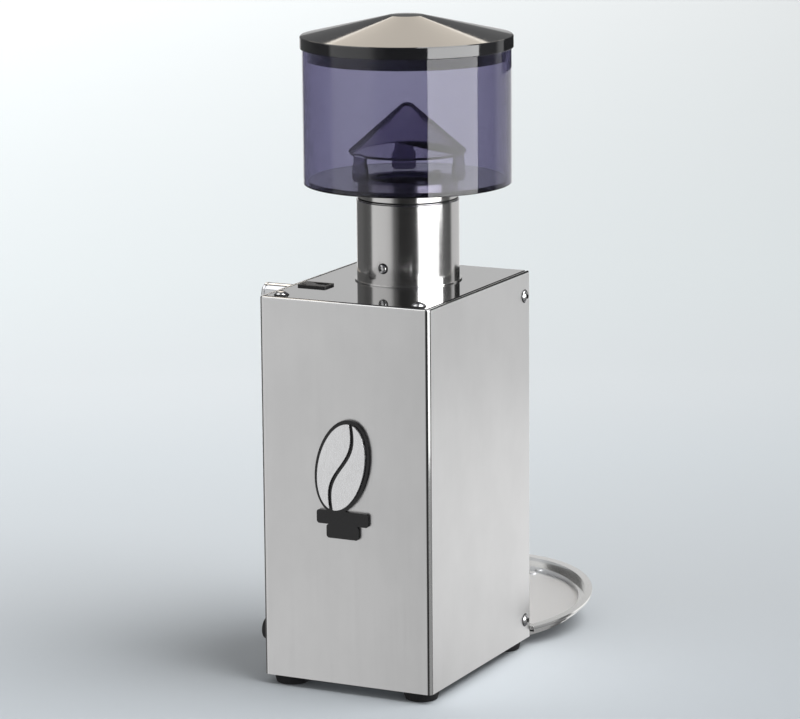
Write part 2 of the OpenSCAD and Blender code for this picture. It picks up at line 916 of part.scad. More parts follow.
module at_floor_screws() {
    on_axis(floor_bottom) around(floor_screw_ring_r, leg_count, floor_screw_angle) children();
}

module hopper_floor() {
    color([0.45, 0.43, 0.6, 0.5]) difference() {
        on_axis(floor_bottom) ring(hopper_r, throat_r, floor_t);
        at_floor_screws() up(-over)
            cylinder(r = floor_screw_r + screw_room, h = floor_t + 2 * over);
    }
}

module hopper_tube() {
    color([0.45, 0.43, 0.6, 0.5]) on_axis(floor_top) ring(hopper_r, hopper_r - hopper_wall, hopper_h);
}

module floor_screws() {
    color("gainsboro") at_floor_screws() up(floor_t)
        flat_screw(floor_head_r, floor_head_h, floor_screw_r, floor_t + collar_h / 2);
}

module bean_guard() {
    slope = atan(guard_h / guard_r);
    tip = guard_base + guard_h - guard_apex_r / cos(slope);
    steps = 6;
    color([0.2, 0.19, 0.27, 0.7]) {
        on_axis() rotate_extrude() polygon([
            [guard_r, guard_base], [guard_r, guard_base + guard_rim],
            for (i = [steps:-1:0])
                guard_apex_r * [sin(i * slope / steps), cos(i * slope / steps)] + [0, tip],
            for (i = [0:steps])
                (guard_apex_r - guard_t) * [sin(i * slope / steps), cos(i * slope / steps)] + [0, tip],
            [guard_r - guard_t, guard_base]
        ]);
        on_axis(floor_top) around(guard_r - leg_t - leg_inset, leg_count, leg_phase) guard_leg();
    }
}

// A flat leg: wide and chamfered at its foot, narrower where it meets the cone
module guard_leg() {
    top_w = leg_w * leg_top_share;
    step = guard_rise * leg_step_share;
    rotate([90, 0, 90]) linear_extrude(leg_t) polygon([
        [-leg_w / 2 + leg_chamfer, 0], [leg_w / 2 - leg_chamfer, 0], [leg_w / 2, leg_chamfer],
        [leg_w / 2, step], [top_w / 2, step + leg_chamfer], [top_w / 2, guard_rise + guard_t / 2],
        [-top_w / 2, guard_rise + guard_t / 2], [-top_w / 2, step + leg_chamfer], [-leg_w / 2, step],
        [-leg_w / 2, leg_chamfer]
    ]);
}

module hopper_lid() {
    lip_r = hopper_r - hopper_wall - rest_gap;
    color("#2c2c2e") on_axis() rotate_extrude() polygon([
        [0, lid_top], [cone_top_r, lid_top - lid_t / 4], [lid_r - lid_t / 4, lid_edge],
        [lid_r, lid_edge - lid_t / 4], [lid_r, lid_edge - rim_h],
        [hopper_r + rest_gap, lid_edge - rim_h], [hopper_r + rest_gap, tube_top],
        [lip_r, tube_top], [lip_r, tube_top - lip_h], [lip_r - lip_t, tube_top - lip_h],
        [lip_r - lip_t, tube_top], [cone_top_r, lid_top - lid_t], [0, lid_top - lid_t]
    ]);
}

// Rocker switch

module switch_housing() {
    body_w = switch_w - 2 * switch_body_inset;
    body_d = switch_d - 2 * switch_body_inset;
    well_w = body_w - 2 * switch_wall;
    well_d = body_d - 2 * switch_wall;
    color("#18181a") translate([switch_x, switch_y, 0]) difference() {
        union() {
            up(case_top) linear_extrude(switch_rim_h)
                rounded_plan(switch_w, switch_d, switch_rim);
            up(case_top - switch_body_h) block(body_w, body_d, switch_body_h);
            for (s = [-1, 0, 1]) translate([s * body_w / 3, 0, case_top - switch_body_h - tab_l])
                block(tab_t, tab_w, tab_l + over);
        }
        up(case_top - switch_well) block(well_w, well_d, switch_well + switch_rim_h + over);
        translate([0, -body_d / 2 + switch_wall / 3, rocker_pivot_z]) rotate([-90, 0, 0])
            cylinder(r = rocker_pin_r + run_fit, h = body_d - 2 * switch_wall / 3);
    }
}

module switch_rocker() {
    body_w = switch_w - 2 * switch_body_inset;
    body_d = switch_d - 2 * switch_body_inset;
    half = body_w / 2 - switch_wall - 3 * rocker_gap;
    d = body_d - 2 * switch_wall - 2 * rocker_gap;
    lift = half * tan(rocker_tilt);
    color("#101012") translate([switch_x, switch_y, rocker_pivot_z]) rotate([0, -rocker_tilt, 0]) {
        rotate([90, 0, 0]) up(-d / 2) linear_extrude(d) polygon([
            [-half, 0], [half, 0], [half, rocker_rise + lift / 2], [0, rocker_rise - lift / 2],
            [-half, rocker_rise + lift / 2]
        ]);
        translate([0, -body_d / 2 + switch_wall / 2, 0]) rotate([-90, 0, 0])
            cylinder(r = rocker_pin_r, h = body_d - switch_wall);
    }
}

// Adjuster

module adjusting_knob() {
    start = half_w + bush_flange_t + knob_gap;
    l = half_w + knob_reach - start;
    color("gainsboro") difference() {
        along_worm(start) {
            cylinder(r = knob_r, h = l - knob_chamfer);
            up(l - knob_chamfer)
                cylinder(r1 = knob_r, r2 = knob_r - knob_chamfer, h = knob_chamfer);
        }
        along_worm(start - over) cylinder(r = worm_shaft_r + seat_fit, h = l / 2 + over);
        along_worm(start + l - 4 * knob_chamfer) ring(knob_r + over, knob_r - knob_groove, knob_groove_w);
    }
}

module worm_shaft() {
    start = half_w + bush_flange_t + knob_gap;
    knob_l = half_w + knob_reach - start;
    color("gray") {
        along_worm(-ear_out - collar_ring_t)
            cylinder(r = worm_shaft_r, h = ear_out + collar_ring_t + start + knob_l / 2 - over);
        for (x = [-ear_out - collar_ring_t - rest_gap, ear_out + rest_gap])
            along_worm(x) ring(collar_ring_r, worm_shaft_r - run_fit, collar_ring_t);
    }
}

// Radius of the worm at an angle, for a thread that narrows from root to tip
function worm_radius(angle) =
    let (a = abs(angle) / 360 * tooth_pitch, tip = tooth_tip_share * tooth_size * 2,
        root = tooth_root_share * tooth_size * 2)
    a <= tip ? worm_tip_r
    : a >= root ? worm_root_r
    : worm_tip_r + (worm_root_r - worm_tip_r) * (a - tip) / (root - tip);

module worm() {
    turns = worm_len / tooth_pitch;
    step = 15;
    mesh_angle = 270;
    color("goldenrod") along_worm(-worm_len / 2) difference() {
        rotate(mesh_angle - 180 * turns)
            linear_extrude(worm_len, twist = -360 * turns, slices = ceil(10 * turns))
            polygon([for (a = [-180:step:180 - step]) worm_radius(a) * [cos(a), sin(a)]]);
        up(-over) cylinder(r = worm_shaft_r + seat_fit, h = worm_len + 2 * over);
    }
}

module worm_bushes() {
    wall_in = half_w - hem_t;
    color("goldenrod") {
        for (s = [-1, 1]) along_worm(s * (ear_in + ear_t / 2) - ear_t / 2)
            ring(worm_shaft_r + bush_wall, worm_shaft_r + run_fit, ear_t);
        along_worm(wall_in - bush_flange_t) difference() {
            union() {
                cylinder(r = worm_shaft_r + bush_wall, h = hem_t + 2 * bush_flange_t);
                up(hem_t + bush_flange_t)
                    cylinder(r = worm_shaft_r + bush_wall + bush_flange, h = bush_flange_t);
                cylinder(r = worm_shaft_r + bush_wall + bush_flange, h = bush_flange_t);
            }
            up(-over)
                cylinder(r = worm_shaft_r + run_fit, h = hem_t + 2 * bush_flange_t + 2 * over);
        }
    }
}

module worm_bracket() {
    ear_front = axis_y + sqrt(wheel_tip_r * wheel_tip_r - ear_in * ear_in) + loose_gap;
    foot_y = axis_y + chamber_r + rest_gap;
    back_y = axis_y + chamber_r + cap_tab_reach;
    color("darkgray") difference() {
        union() {
            translate([-ear_out, foot_y, cap_top]) cube([2 * ear_out, back_y - foot_y, ear_t / 2]);
            for (x = [-ear_out, ear_in]) translate([x, 0, 0]) rotate([90, 0, 90]) linear_extrude(ear_t)
                polygon([
                [foot_y, cap_top], [back_y, cap_top], [back_y, worm_z],
                    [worm_y + ear_half_h, worm_z + ear_half_h],
                [ear_front, worm_z + ear_half_h], [ear_front, worm_z - ear_half_h],
                    [foot_y, worm_z - 2 * ear_half_h]
            ]);
        }
        along_worm(-ear_out - over)
            cylinder(r = worm_shaft_r + bush_wall + seat_fit, h = 2 * ear_out + 2 * over);
    }
}

module wheel_plan() {
    root_w = tooth_root_share * tooth_size * 2;
    tip_w = tooth_tip_share * tooth_size * 2;
    circle(r = wheel_root_r);
    around(0, wheel_teeth, 90 + 180 / wheel_teeth) polygon([
        [wheel_root_r - tooth_size, -root_w], [wheel_root_r, -root_w], [wheel_tip_r, -tip_w],
        [wheel_tip_r, tip_w], [wheel_root_r, root_w], [wheel_root_r - tooth_size, root_w]
    ]);
}

module adjusting_ring() {
    color("goldenrod") on_axis() difference() {
        union() {
            up(nut_bottom) cylinder(r = nut_hub_r, h = wheel_top - nut_bottom);
            up(nut_bottom) cylinder(r = nut_flange_r, h = nut_flange_h);
            up(wheel_bottom) linear_extrude(wheel_face) wheel_plan();
        }
        up(nut_bottom - over)
            cylinder(r = sleeve_r + thread_fit, h = wheel_top - nut_bottom + 2 * over);
    }
}

module at_chamber_bolts() {
    on_axis(retainer_top) around(bolt_ring_r, bolt_count, bolt_phase) children();
}

module ring_retainer() {
    color("darkgray") difference() {
        on_axis() rotate_extrude() polygon([
            [nut_flange_r + rest_gap, cap_top], [chamber_r, cap_top], [chamber_r, retainer_top],
            [nut_hub_r + loose_gap, retainer_top], [nut_hub_r + loose_gap, cap_top + retainer_low_h],
            [nut_flange_r + rest_gap, cap_top + retainer_low_h]
        ]);
        at_chamber_bolts() up(-retainer_top + cap_top - over)
            cylinder(r = bolt_r + screw_room, h = retainer_top - cap_top + 2 * over);
    }
}

module chamber_cap() {
    color("lightgray") difference() {
        union() {
            on_axis(chamber_top) cylinder(r = chamber_r, h = cap_t);
            translate([-cap_tab_w, axis_y + chamber_bore_r, chamber_top])
                cube([2 * cap_tab_w, chamber_r - chamber_bore_r + cap_tab_reach, cap_t]);
        }
        on_axis(chamber_top - over) cylinder(r = sleeve_r + loose_gap, h = cap_t + 2 * over);
        at_chamber_bolts() up(chamber_top - retainer_top - over)
            cylinder(r = bolt_r + screw_room, h = cap_t + 2 * over);
    }
}

module chamber_bolts() {
    shank_l = retainer_top - chamber_top + bolt_into_wall - bolt_spare;
    color("gainsboro") at_chamber_bolts() dome_screw(bolt_head_r, bolt_head_h, bolt_r, shank_l);
}

// Burrs and their carriers

module carrier_spring() {
    color("gray") on_axis(upper_flange_top)
        ring(sleeve_r + rest_gap + spring_wall, sleeve_r + rest_gap, chamber_top - upper_flange_top);
}

module upper_carrier() {
    color("lightgray") difference() {
        on_axis() {
            rotate_extrude() polygon([
                [burr_bore_r, upper_burr_top], [upper_flange_r, upper_burr_top],
                    [upper_flange_r, upper_flange_top],
                [sleeve_r, upper_flange_top], [sleeve_r, carrier_top], [sleeve_in_r, carrier_top],
                [sleeve_in_r, upper_flange_top], [burr_bore_r, upper_burr_top + sleeve_wall]
            ]);
            for (s = [-1, 1]) translate([s * (upper_flange_r + key_reach / 2), 0, upper_burr_top])
                block(key_reach + sheet, key_w, upper_flange_h);
        }
        on_axis(upper_burr_top - over) around(burr_screw_ring_r, burr_screw_count)
            cylinder(r = burr_screw_r + screw_room, h = burr_screw_l - burr_t + burr_head_h + 2 * over);
    }
}

// A flat burr with its slanting grooves on the upper face
module burr() {
    difference() {
        ring(burr_r, burr_bore_r, burr_t);
        around(0, burr_grooves) translate([burr_bore_r, 0, burr_t - groove_depth]) rotate(groove_angle)
            translate([-groove_w, 0, 0]) cube([2 * burr_r, groove_w, groove_depth + over]);
        around(burr_screw_ring_r, burr_screw_count) {
            up(-over) cylinder(r = burr_screw_r + screw_room, h = burr_t + 2 * over);
            up(burr_t - groove_depth - burr_head_h)
                cylinder(r = burr_head_r + screw_room, h = burr_head_h + groove_depth + over);
        }
    }
}

module upper_burr() {
    color("#8a8d90") on_axis(upper_burr_top) mirror([0, 0, 1]) burr();
}

module lower_burr() {
    color("#8a8d90") on_axis(lower_burr_bottom) burr();
}

module burr_screws() {
    around(burr_screw_ring_r, burr_screw_count) up(burr_t - groove_depth - burr_head_h)
        flat_screw(burr_head_r, burr_head_h, burr_screw_r, burr_screw_l - burr_head_h);
}

module burr_screws_upper() {
    color("dimgray") on_axis(upper_burr_top) mirror([0, 0, 1]) burr_screws();
}

module burr_screws_lower() {
    color("dimgray") on_axis(lower_burr_bottom) burr_screws();
}

// Side outline of the chute's inside, from the chamber through the panel
module chute_hollow() {
    inner_y = axis_y - chamber_bore_r + chute_room;
    translate([-chute_w / 2, 0, 0]) rotate([90, 0, 90]) linear_extrude(chute_w) polygon([
        [inner_y, chamber_floor], [inner_y, chute_top], [panel_face - over, chute_top],
        [panel_face - over, chute_front], [duct_end, chute_front]
    ]);
}

module chamber_body() {
    duct_w = chute_w + 2 * spout_wall;
    color("lightgray") difference() {
        union() {
            on_axis(motor_top) cylinder(r = pedestal_flange_r, h = pedestal_flange_t);
            on_axis(motor_top) cylinder(r = pedestal_r, h = pedestal_h + over);
            on_axis(chamber_bottom) cylinder(r = chamber_r, h = chamber_h);
            translate([-duct_w / 2, duct_end, chute_front - spout_wall])
                cube([duct_w, axis_y - chamber_bore_r - duct_end,
                    chute_top - chute_front + 2 * spout_wall]);
        }
        on_axis(motor_top - over) cylinder(r = pedestal_in_r, h = pedestal_h + over);
        on_axis(motor_top) cylinder(r = rotor_seat_r, h = pedestal_h + 2 * chamber_floor_t);
        on_axis(chamber_floor) cylinder(r = chamber_bore_r, h = chamber_h);
        on_axis(upper_burr_bottom) for (s = [-1, 1]) translate([s * (chamber_bore_r + key_reach / 2), 0, 0])
            block(key_reach + sheet + loose_gap, key_w + loose_gap, chamber_h);
        chute_hollow();
        at_chamber_bolts() up(chamber_top - retainer_top - bolt_into_wall)
            cylinder(r = bolt_r + screw_room, h = bolt_into_wall + over);
        on_axis(motor_top - over) around(pedestal_bolt_ring_r, bolt_count, bolt_phase)
            cylinder(r = tie_r + screw_room, h = pedestal_flange_t + 2 * over);
    }
}

module lower_carrier() {
    bottom = lower_burr_bottom - lower_carrier_t;
    color("lightgray") on_axis() difference() {
        union() {
            up(bottom) cylinder(r = lower_carrier_r, h = lower_carrier_t);
            up(bottom - carrier_gap + rest_gap) cylinder(r = hub_r, h = carrier_gap);
            up(lower_burr_bottom) cylinder(r = burr_bore_r - seat_fit, h = burr_boss_h);
            up(bottom) around(0, vane_count) translate([0, -vane_w / 2, 0])
                cube([sweep_r, vane_w, lower_carrier_t]);
        }
        up(bottom - carrier_gap)
            cylinder(r = shaft_r + seat_fit, h = carrier_gap + lower_carrier_t);
        up(bottom)
            cylinder(r = shaft_r / 2 + screw_room, h = lower_carrier_t + burr_boss_h + over);
        up(lower_burr_bottom - burr_screw_l) around(burr_screw_ring_r, burr_screw_count)
            cylinder(r = burr_screw_r + screw_room, h = burr_screw_l + over);
    }
}

module shaft_bolt() {
    color("dimgray") on_axis(lower_burr_bottom + burr_boss_h)
        dome_screw(shaft_r + seat_step, bolt_head_h, shaft_r / 2, burr_boss_h + 2 * shaft_r);
}

// Motor

module motor_shaft() {
    low = motor_bottom + bearing_floor + bearing_h;
    high = motor_top - bearing_floor - bearing_h;
    color("gray") on_axis() difference() {
        union() {
            up(shaft_bottom) cylinder(r = shaft_r, h = lower_burr_bottom - shaft_bottom);
            up(low + rest_gap) cylinder(r = rotor_seat_r, h = high - low - 2 * rest_gap);
        }
        up(lower_burr_bottom - 3 * shaft_r)
            cylinder(r = shaft_r / 2 + screw_room, h = 3 * shaft_r + over);
    }
}

module rotor_core() {
    color("#6f7276") on_axis(stator_bottom) {
        ring(rotor_r, rotor_seat_r + seat_fit, stack_h);
        up(-end_ring_h) ring(rotor_r, rotor_r * end_ring_in_share, stack_h + 2 * end_ring_h);
    }
}

module stator_core() {
    color("#5c6066") on_axis(stator_bottom) difference() {
        ring(motor_r, stator_bore_r, stack_h);
        up(-over) around(slot_ring_r, slot_count)
            cylinder(r = slot_r, h = stack_h + 2 * over);
    }
}

module stator_windings() {
    color("#b5651d") on_axis() {
        for (z = [stator_bottom - winding_h, stator_top]) up(z) rotate_extrude()
            translate([(winding_in_r + winding_out_r) / 2, winding_h / 2])
                rounded_plan(winding_out_r - winding_in_r, winding_h, winding_round);
        up(stator_bottom - winding_h / 2) around(slot_ring_r, slot_count)
            cylinder(r = slot_r - slot_gap, h = stack_h + winding_h);
    }
}

// One end shield, seen from inside: its open side is at the top
module end_shield() {
    difference() {
        union() {
            cylinder(r = motor_r, h = shield_h);
            around(ear_ring_r, bolt_count, bolt_phase) cylinder(r = ear_r, h = ear_h);
            around(ear_ring_r, bolt_count, bolt_phase) translate([-ear_r - over, -ear_r, 0])
                cube([ear_r + over, 2 * ear_r, ear_h]);
        }
        difference() {
            up(shield_wall) cylinder(r = motor_r - shield_wall, h = shield_h);
            cylinder(r = boss_r, h = bearing_floor + bearing_h);
        }
        up(bearing_floor) cylinder(r = bearing_r + seat_fit, h = shield_h);
        up(-over) cylinder(r = rotor_seat_r, h = shield_h);
        up(-over) around(ear_ring_r, bolt_count, bolt_phase)
            cylinder(r = tie_r + screw_room, h = ear_h + 2 * over);
        up(-over) around(shield_vent_ring_r, shield_vent_count)
            cylinder(r = shield_vent_r, h = 2 * shield_wall);
    }
}

module motor_shields() {
    color("lightgray") {
        on_axis(motor_bottom) end_shield();
        on_axis(motor_top) mirror([0, 0, 1]) end_shield();
    }
}

module at_bearings() {
    for (z = [motor_bottom + bearing_floor, motor_top - bearing_floor - bearing_h]) on_axis(z) children();
}

module bearing_outer_rings() {
    color("gainsboro") at_bearings() ring(bearing_r, ball_ring_r + ball_r + ball_gap, bearing_h);
}

module bearing_inner_rings() {
    color("gainsboro") at_bearings() ring(ball_ring_r - ball_r - ball_gap, shaft_r + seat_fit, bearing_h);
}

module bearing_balls() {
    color("silver") at_bearings() up(bearing_h / 2) around(ball_ring_r, ball_count)
        sphere(r = ball_r, $fn = 32);
}

module motor_fan() {
    color("#2a2a2c") on_axis(fan_bottom) difference() {
        union() {
            cylinder(r = fan_hub_r, h = fan_h + fan_disc_t);
            cylinder(r = fan_r, h = fan_disc_t);
            around(0, blade_count) translate([fan_hub_r - blade_root, -blade_t / 2, 0])
                cube([fan_r - fan_hub_r, blade_t, fan_h]);
        }
        up(-over) cylinder(r = shaft_r + seat_fit, h = fan_h + fan_disc_t + 2 * over);
    }
}

module tie_bolts() {
    color("gray") on_axis(motor_bottom) around(ear_ring_r, bolt_count, bolt_phase) {
        rotate([180, 0, 0]) cylinder(r = tie_head_r, h = tie_head_h, $fn = 6);
        cylinder(r = tie_r, h = motor_top - motor_bottom);
        up(motor_top - motor_bottom) cylinder(r = tie_head_r, h = tie_head_h, $fn = 6);
    }
    color("gray") on_axis(motor_top + pedestal_flange_t)
        around(pedestal_bolt_ring_r, bolt_count, bolt_phase)
        flat_screw(tie_head_r, tie_head_h, tie_r, pedestal_flange_t);
}

module motor_mounts() {
    color("#202022") on_axis(base_top) around(mount_ring_r, mount_count) rotate_extrude() polygon([
        [mount_bore_r, 0], [mount_r, 0], [mount_r, mount_flange], [mount_r - mount_waist, mount_h / 2],
        [mount_r, mount_h - mount_flange], [mount_r, mount_h], [mount_bore_r, mount_h]
    ]);
}

// Electrics

module run_capacitor() {
    y = half_d - capacitor_inset;
    color("#d8d8d4") translate([capacitor_x, y, base_top]) {
        rotate_extrude() polygon([
            [0, 0], [capacitor_r, 0], [capacitor_r, capacitor_h - capacitor_round],
            [capacitor_r - capacitor_round, capacitor_h], [0, capacitor_h]
        ]);
        for (s = [-1, 1]) translate([s * capacitor_r / 3, 0, capacitor_h - over])
            block(tag_t, tag_w, tag_h);
    }
    color("gray") translate([capacitor_x, y, base_top + capacitor_h / 3]) {
        ring(capacitor_r + clip_gap + clip_t, capacitor_r + clip_gap, clip_w);
        translate([-clip_w / 2, capacitor_r + clip_gap + clip_t / 2, 0])
            cube([clip_w, half_d - sheet - y - capacitor_r - clip_gap - clip_t / 2 - rest_gap, clip_w]);
    }
}

module relay_board() {
    back = half_d - sheet - rest_gap;
    front = back - standoff_l;
    color("darkgreen") {
        translate([0, front - board_t / 2, board_z]) cube([board_w, board_t, board_h], center = true);
        translate([0, front, board_z]) for (sx = [-1, 1], sz = [-1, 1])
            translate([sx * (board_w / 2 - 2 * standoff_r), -over, sz * (board_h / 2 - 2 * standoff_r)])
                rotate([-90, 0, 0]) cylinder(r = standoff_r, h = standoff_l + over);
        translate([-board_w / 5, front - board_t - relay_d / 2 + over, board_z + board_h / 4])
            cube([relay_w, relay_d, relay_h], center = true);
        translate([board_w / 3, front - board_t + over, board_z]) rotate([90, 0, 0])
            cylinder(r = choke_r, h = choke_h);
        translate([0, front - board_t - terminal_d / 2 + over, board_z - board_h / 3])
            cube([terminal_w, terminal_d, terminal_h], center = true);
    }
}

module cord_gland() {
    nut_x = half_w - sheet - gland_nut_t;
    color("#1a1a1c") translate([nut_x, gland_y, gland_z]) rotate([0, 90, 0]) difference() {
        union() {
            cylinder(r = gland_nut_r, h = gland_nut_t, $fn = 6);
            cylinder(r = gland_thread_r, h = gland_nut_t + sheet + over);
            up(gland_nut_t + sheet) cylinder(r = gland_r, h = gland_l / 2);
            up(gland_nut_t + sheet + gland_l / 2)
                cylinder(r1 = gland_r, r2 = gland_thread_r, h = gland_l / 2);
        }
        up(-over) cylinder(r = gland_bore_r, h = gland_nut_t + sheet + gland_l + 2 * over);
    }
}

// Front

module at_front_screws() {
    for (x = [-fork_screw_x, fork_screw_x]) translate([x, panel_face - fork_t, fork_z - fork_flange_h / 2])
        rotate([90, 0, 0]) children();
    for (x = [-spout_screw_x, spout_screw_x])
        translate([x, panel_face - spout_flange_t, (chute_top + chute_front) / 2])
        rotate([90, 0, 0]) children();
}

module front_screws() {
    color("gainsboro") at_front_screws()
        flat_screw(front_head_r, front_head_h, front_screw_r, front_screw_l);
}

// The spout: the chute runs on through it, then turns down to the mouth
module spout() {
    top = chute_top + spout_wall;
    nose_y = spout_y - spout_mouth_half - spout_wall;
    heel_y = spout_y + spout_mouth_half + spout_wall;
    knee = spout_mouth_z + (top - spout_mouth_z) * spout_nose_share;
    color("#1b1b1d") difference() {
        union() {
            translate([-spout_w / 2, 0, 0]) rotate([90, 0, 90]) linear_extrude(spout_w) polygon([
                [panel_face, top], [spout_y, top - spout_wall], [nose_y, top - 3 * spout_wall],
                [nose_y, spout_mouth_z], [heel_y, spout_mouth_z], [heel_y, knee - 2 * spout_wall],
                [panel_face, chute_front - spout_wall]
            ]);
            translate([-spout_flange_w / 2, panel_face - spout_flange_t, chute_front - 2 * spout_wall])
                cube([spout_flange_w, spout_flange_t, top - chute_front + 3 * spout_wall]);
        }
        translate([-chute_w / 2, 0, 0]) rotate([90, 0, 90]) linear_extrude(chute_w) polygon([
            [panel_face + over, chute_top], [spout_y, chute_top - spout_wall],
            [nose_y + spout_wall, top - 5 * spout_wall], [nose_y + spout_wall, spout_mouth_z - over],
            [heel_y - spout_wall, spout_mouth_z - over], [heel_y - spout_wall, knee - spout_wall],
            [panel_face + over, chute_front]
        ]);
        at_front_screws() up(-spout_flange_t - over)
            cylinder(r = front_screw_r + screw_room, h = spout_flange_t + 2 * over);
    }
}

module fork_plan() {
    hull() {
        translate([-fork_w / 2, panel_face - fork_root]) square([fork_w, fork_root]);
        for (s = [-1, 1]) translate([s * (fork_w / 2 - fork_corner), panel_face - fork_l + fork_corner])
            circle(fork_corner);
    }
}

module filter_fork() {
    slot_y = panel_face - fork_root - fork_gap / 2;
    color("silver") difference() {
        union() {
            up(fork_z - fork_t) linear_extrude(fork_t) fork_plan();
            translate([-fork_w / 2, panel_face - fork_t, fork_z - fork_flange_h])
                cube([fork_w, fork_t, fork_flange_h]);
            up(fork_z - fork_t) linear_extrude(fork_t + fork_lip_h) intersection() {
                fork_plan();
                translate([-fork_w / 2, panel_face - fork_l]) square([fork_w, fork_lip_l]);
            }
        }
        translate([0, slot_y, fork_z - fork_flange_h]) cylinder(r = fork_gap / 2, h = 2 * fork_flange_h);
        translate([-fork_gap / 2, slot_y - fork_l, fork_z - fork_flange_h])
            cube([fork_gap, fork_l, 2 * fork_flange_h]);
        at_front_screws() up(-fork_t - over)
            cylinder(r = front_screw_r + screw_room, h = fork_t + 2 * over);
    }
}

module dose_button() {
    color("#111113") translate([0, panel_face, button_z]) rotate([90, 0, 0]) {
        up(-sheet) cylinder(r = button_r, h = button_out + sheet - cap_edge);
        up(button_out - cap_edge) cylinder(r1 = button_r, r2 = button_r - cap_edge, h = cap_edge);
        up(panel_face - stem_end) cylinder(r = stem_r, h = stem_end - panel_face);
    }
}

// The button's guide, with the small switch behind it
module button_switch() {
    inner_r = button_r + run_fit;
    guide_end = sheet + guide_l;
    plunger_tip = stem_end + button_travel + rest_gap;
    micro_y = plunger_tip + plunger_l;
    color("#232325") {
        translate([0, panel_face, button_z]) rotate([90, 0, 0]) difference() {
            union() {
                cylinder(r = bezel_r, h = bezel_t);
                up(-guide_end) cylinder(r = button_r + guide_wall, h = guide_end + over);
            }
            up(-guide_end - over) cylinder(r = inner_r, h = guide_end + bezel_t + 2 * over);
        }
        translate([-micro_w / 2, micro_y, button_z - micro_h / 2]) cube([micro_w, micro_d, micro_h]);
        translate([0, plunger_tip, button_z]) rotate([-90, 0, 0])
            cylinder(r = plunger_r, h = plunger_l + over);
        for (s = [-1, 1]) translate([s * (micro_w / 2 + cheek_t / 2) - cheek_t / 2, panel_back,
            button_z - micro_h / 2])
            cube([cheek_t, micro_y + micro_d - panel_back, micro_h]);
        for (s = [-1, 1]) translate([s > 0 ? button_r + guide_wall - run_fit : -micro_w / 2 - cheek_t,
            panel_back, button_z - micro_h / 2])
            cube([micro_w / 2 + cheek_t - button_r - guide_wall + run_fit, sheet, micro_h]);
    }
}

// Tray: a round dish, cut straight where it meets the case, with a folded lip over a rail

module tray_frame() {
    translate([0, -half_d, tray_rim_z]) rotate([-tray_tilt, 0, 0]) translate([0, -tray_reach, 0])
        children();
}

module tray() {
    wall_r = tray_r - tray_rim_w;
    step_z = -tray_depth * tray_step_share;
    floor_r = wall_r - tray_ledge;
    back = tray_reach - tray_back_gap;
    wall_back = back - tray_rim_w;
    lip_h = tray_rim_z - tray_t - rail_z - rail_t - rest_gap;
    color("silver") tray_frame() {
        intersection() {
            rotate_extrude() polygon([
                [0, -tray_depth], [floor_r, -tray_depth], [floor_r, step_z - tray_t],
                    [wall_r, step_z - tray_t],
                [wall_r, -tray_t], [tray_r, -tray_t], [tray_r, 0], [wall_r - tray_t, 0],
                [wall_r - tray_t, step_z], [floor_r - tray_t, step_z],
                    [floor_r - tray_t, tray_t - tray_depth],
                [0, tray_t - tray_depth]
            ]);
            translate([-tray_r, -tray_r, -tray_depth])
                cube([2 * tray_r, tray_r + wall_back, 2 * tray_depth]);
        }
        intersection() {
            up(-tray_depth) cylinder(r = floor_r, h = tray_depth);
            translate([-tray_r, wall_back - tray_t, -tray_depth]) cube([2 * tray_r, tray_t, tray_depth]);
        }
        intersection() {
            up(-tray_t) cylinder(r = tray_r, h = tray_t);
            translate([-tray_r, wall_back - tray_t, -tray_t])
                cube([2 * tray_r, tray_rim_w + tray_t, tray_t]);
        }
        intersection() {
            up(step_z - tray_t) cylinder(r = wall_r, h = -step_z + tray_t);
            translate([-tray_r, wall_back - tray_t, step_z - tray_t])
                cube([2 * tray_r, tray_t, -step_z + tray_t]);
        }
        translate([-rail_w / 2, back - tray_t, -tray_t - lip_h]) cube([rail_w, tray_t, lip_h + tray_t]);
        translate([nub_across, -floor_r + nub_in, tray_t - tray_depth]) rotate_extrude() polygon([
            [0, 0], [nub_r, 0], [nub_r - nub_h, nub_h], [0, nub_h]
        ]);
    }
    color("silver") difference() {
        tray_frame() rotate_extrude() translate([tray_r - tray_curl_r, -tray_curl_r])
            circle(r = tray_curl_r, $fn = 24);
        translate([-case_w, -half_d - tray_back_gap, 0]) cube([2 * case_w, case_d, case_h]);
    }
}

// Badge

module at_badge() {
    translate([badge_x, half_d, badge_z]) rotate([90, 0, 180]) children();
}

module at_badge_pins() {
    at_badge() up(-sheet - over) for (y = [badge_bean_y, badge_bar_y]) translate([0, y, 0])
        children();
}

function oval(w, l) = [for (a = [0:6:354]) [w / 2 * cos(a), l / 2 * sin(a)]];

// The wavy split along a bean, as a band of the given width
function split_x(t, swing) = swing * sin(180 * t);
function split_band(w, l, swing) = concat(
    [for (t = [-1:0.1:1]) [split_x(t, swing) - w / 2, t * l / 2]],
    [for (t = [1:-0.1:-1]) [split_x(t, swing) + w / 2, t * l / 2]]
);

// A black backing in the shape of a bean over a bare name bar
module badge_plate() {
    rim = 2 * badge_rim;
    color("#161618") at_badge() {
        linear_extrude(badge_t) {
            translate([0, badge_bean_y]) rotate(bean_lean) polygon(oval(bean_w + rim, bean_l + rim));
            translate([0, badge_bar_y]) rounded_plan(badge_w * bar_w_share, bar_h, badge_t);
            translate([0, badge_bar_y - bar_h]) rounded_plan(badge_w * foot_bar_w_share, bar_h, badge_t);
        }
        for (y = [badge_bean_y, badge_bar_y]) translate([0, y, -sheet])
            cylinder(r = badge_pin_r, h = sheet + badge_t);
    }
}

module badge_bean() {
    color("gainsboro") at_badge() translate([0, badge_bean_y, badge_t]) rotate(bean_lean)
        linear_extrude(relief_t)
        difference() {
            polygon(oval(bean_w, bean_l));
            polygon(split_band(relief_split, bean_l + 2 * over, bean_w / 8));
        }
}

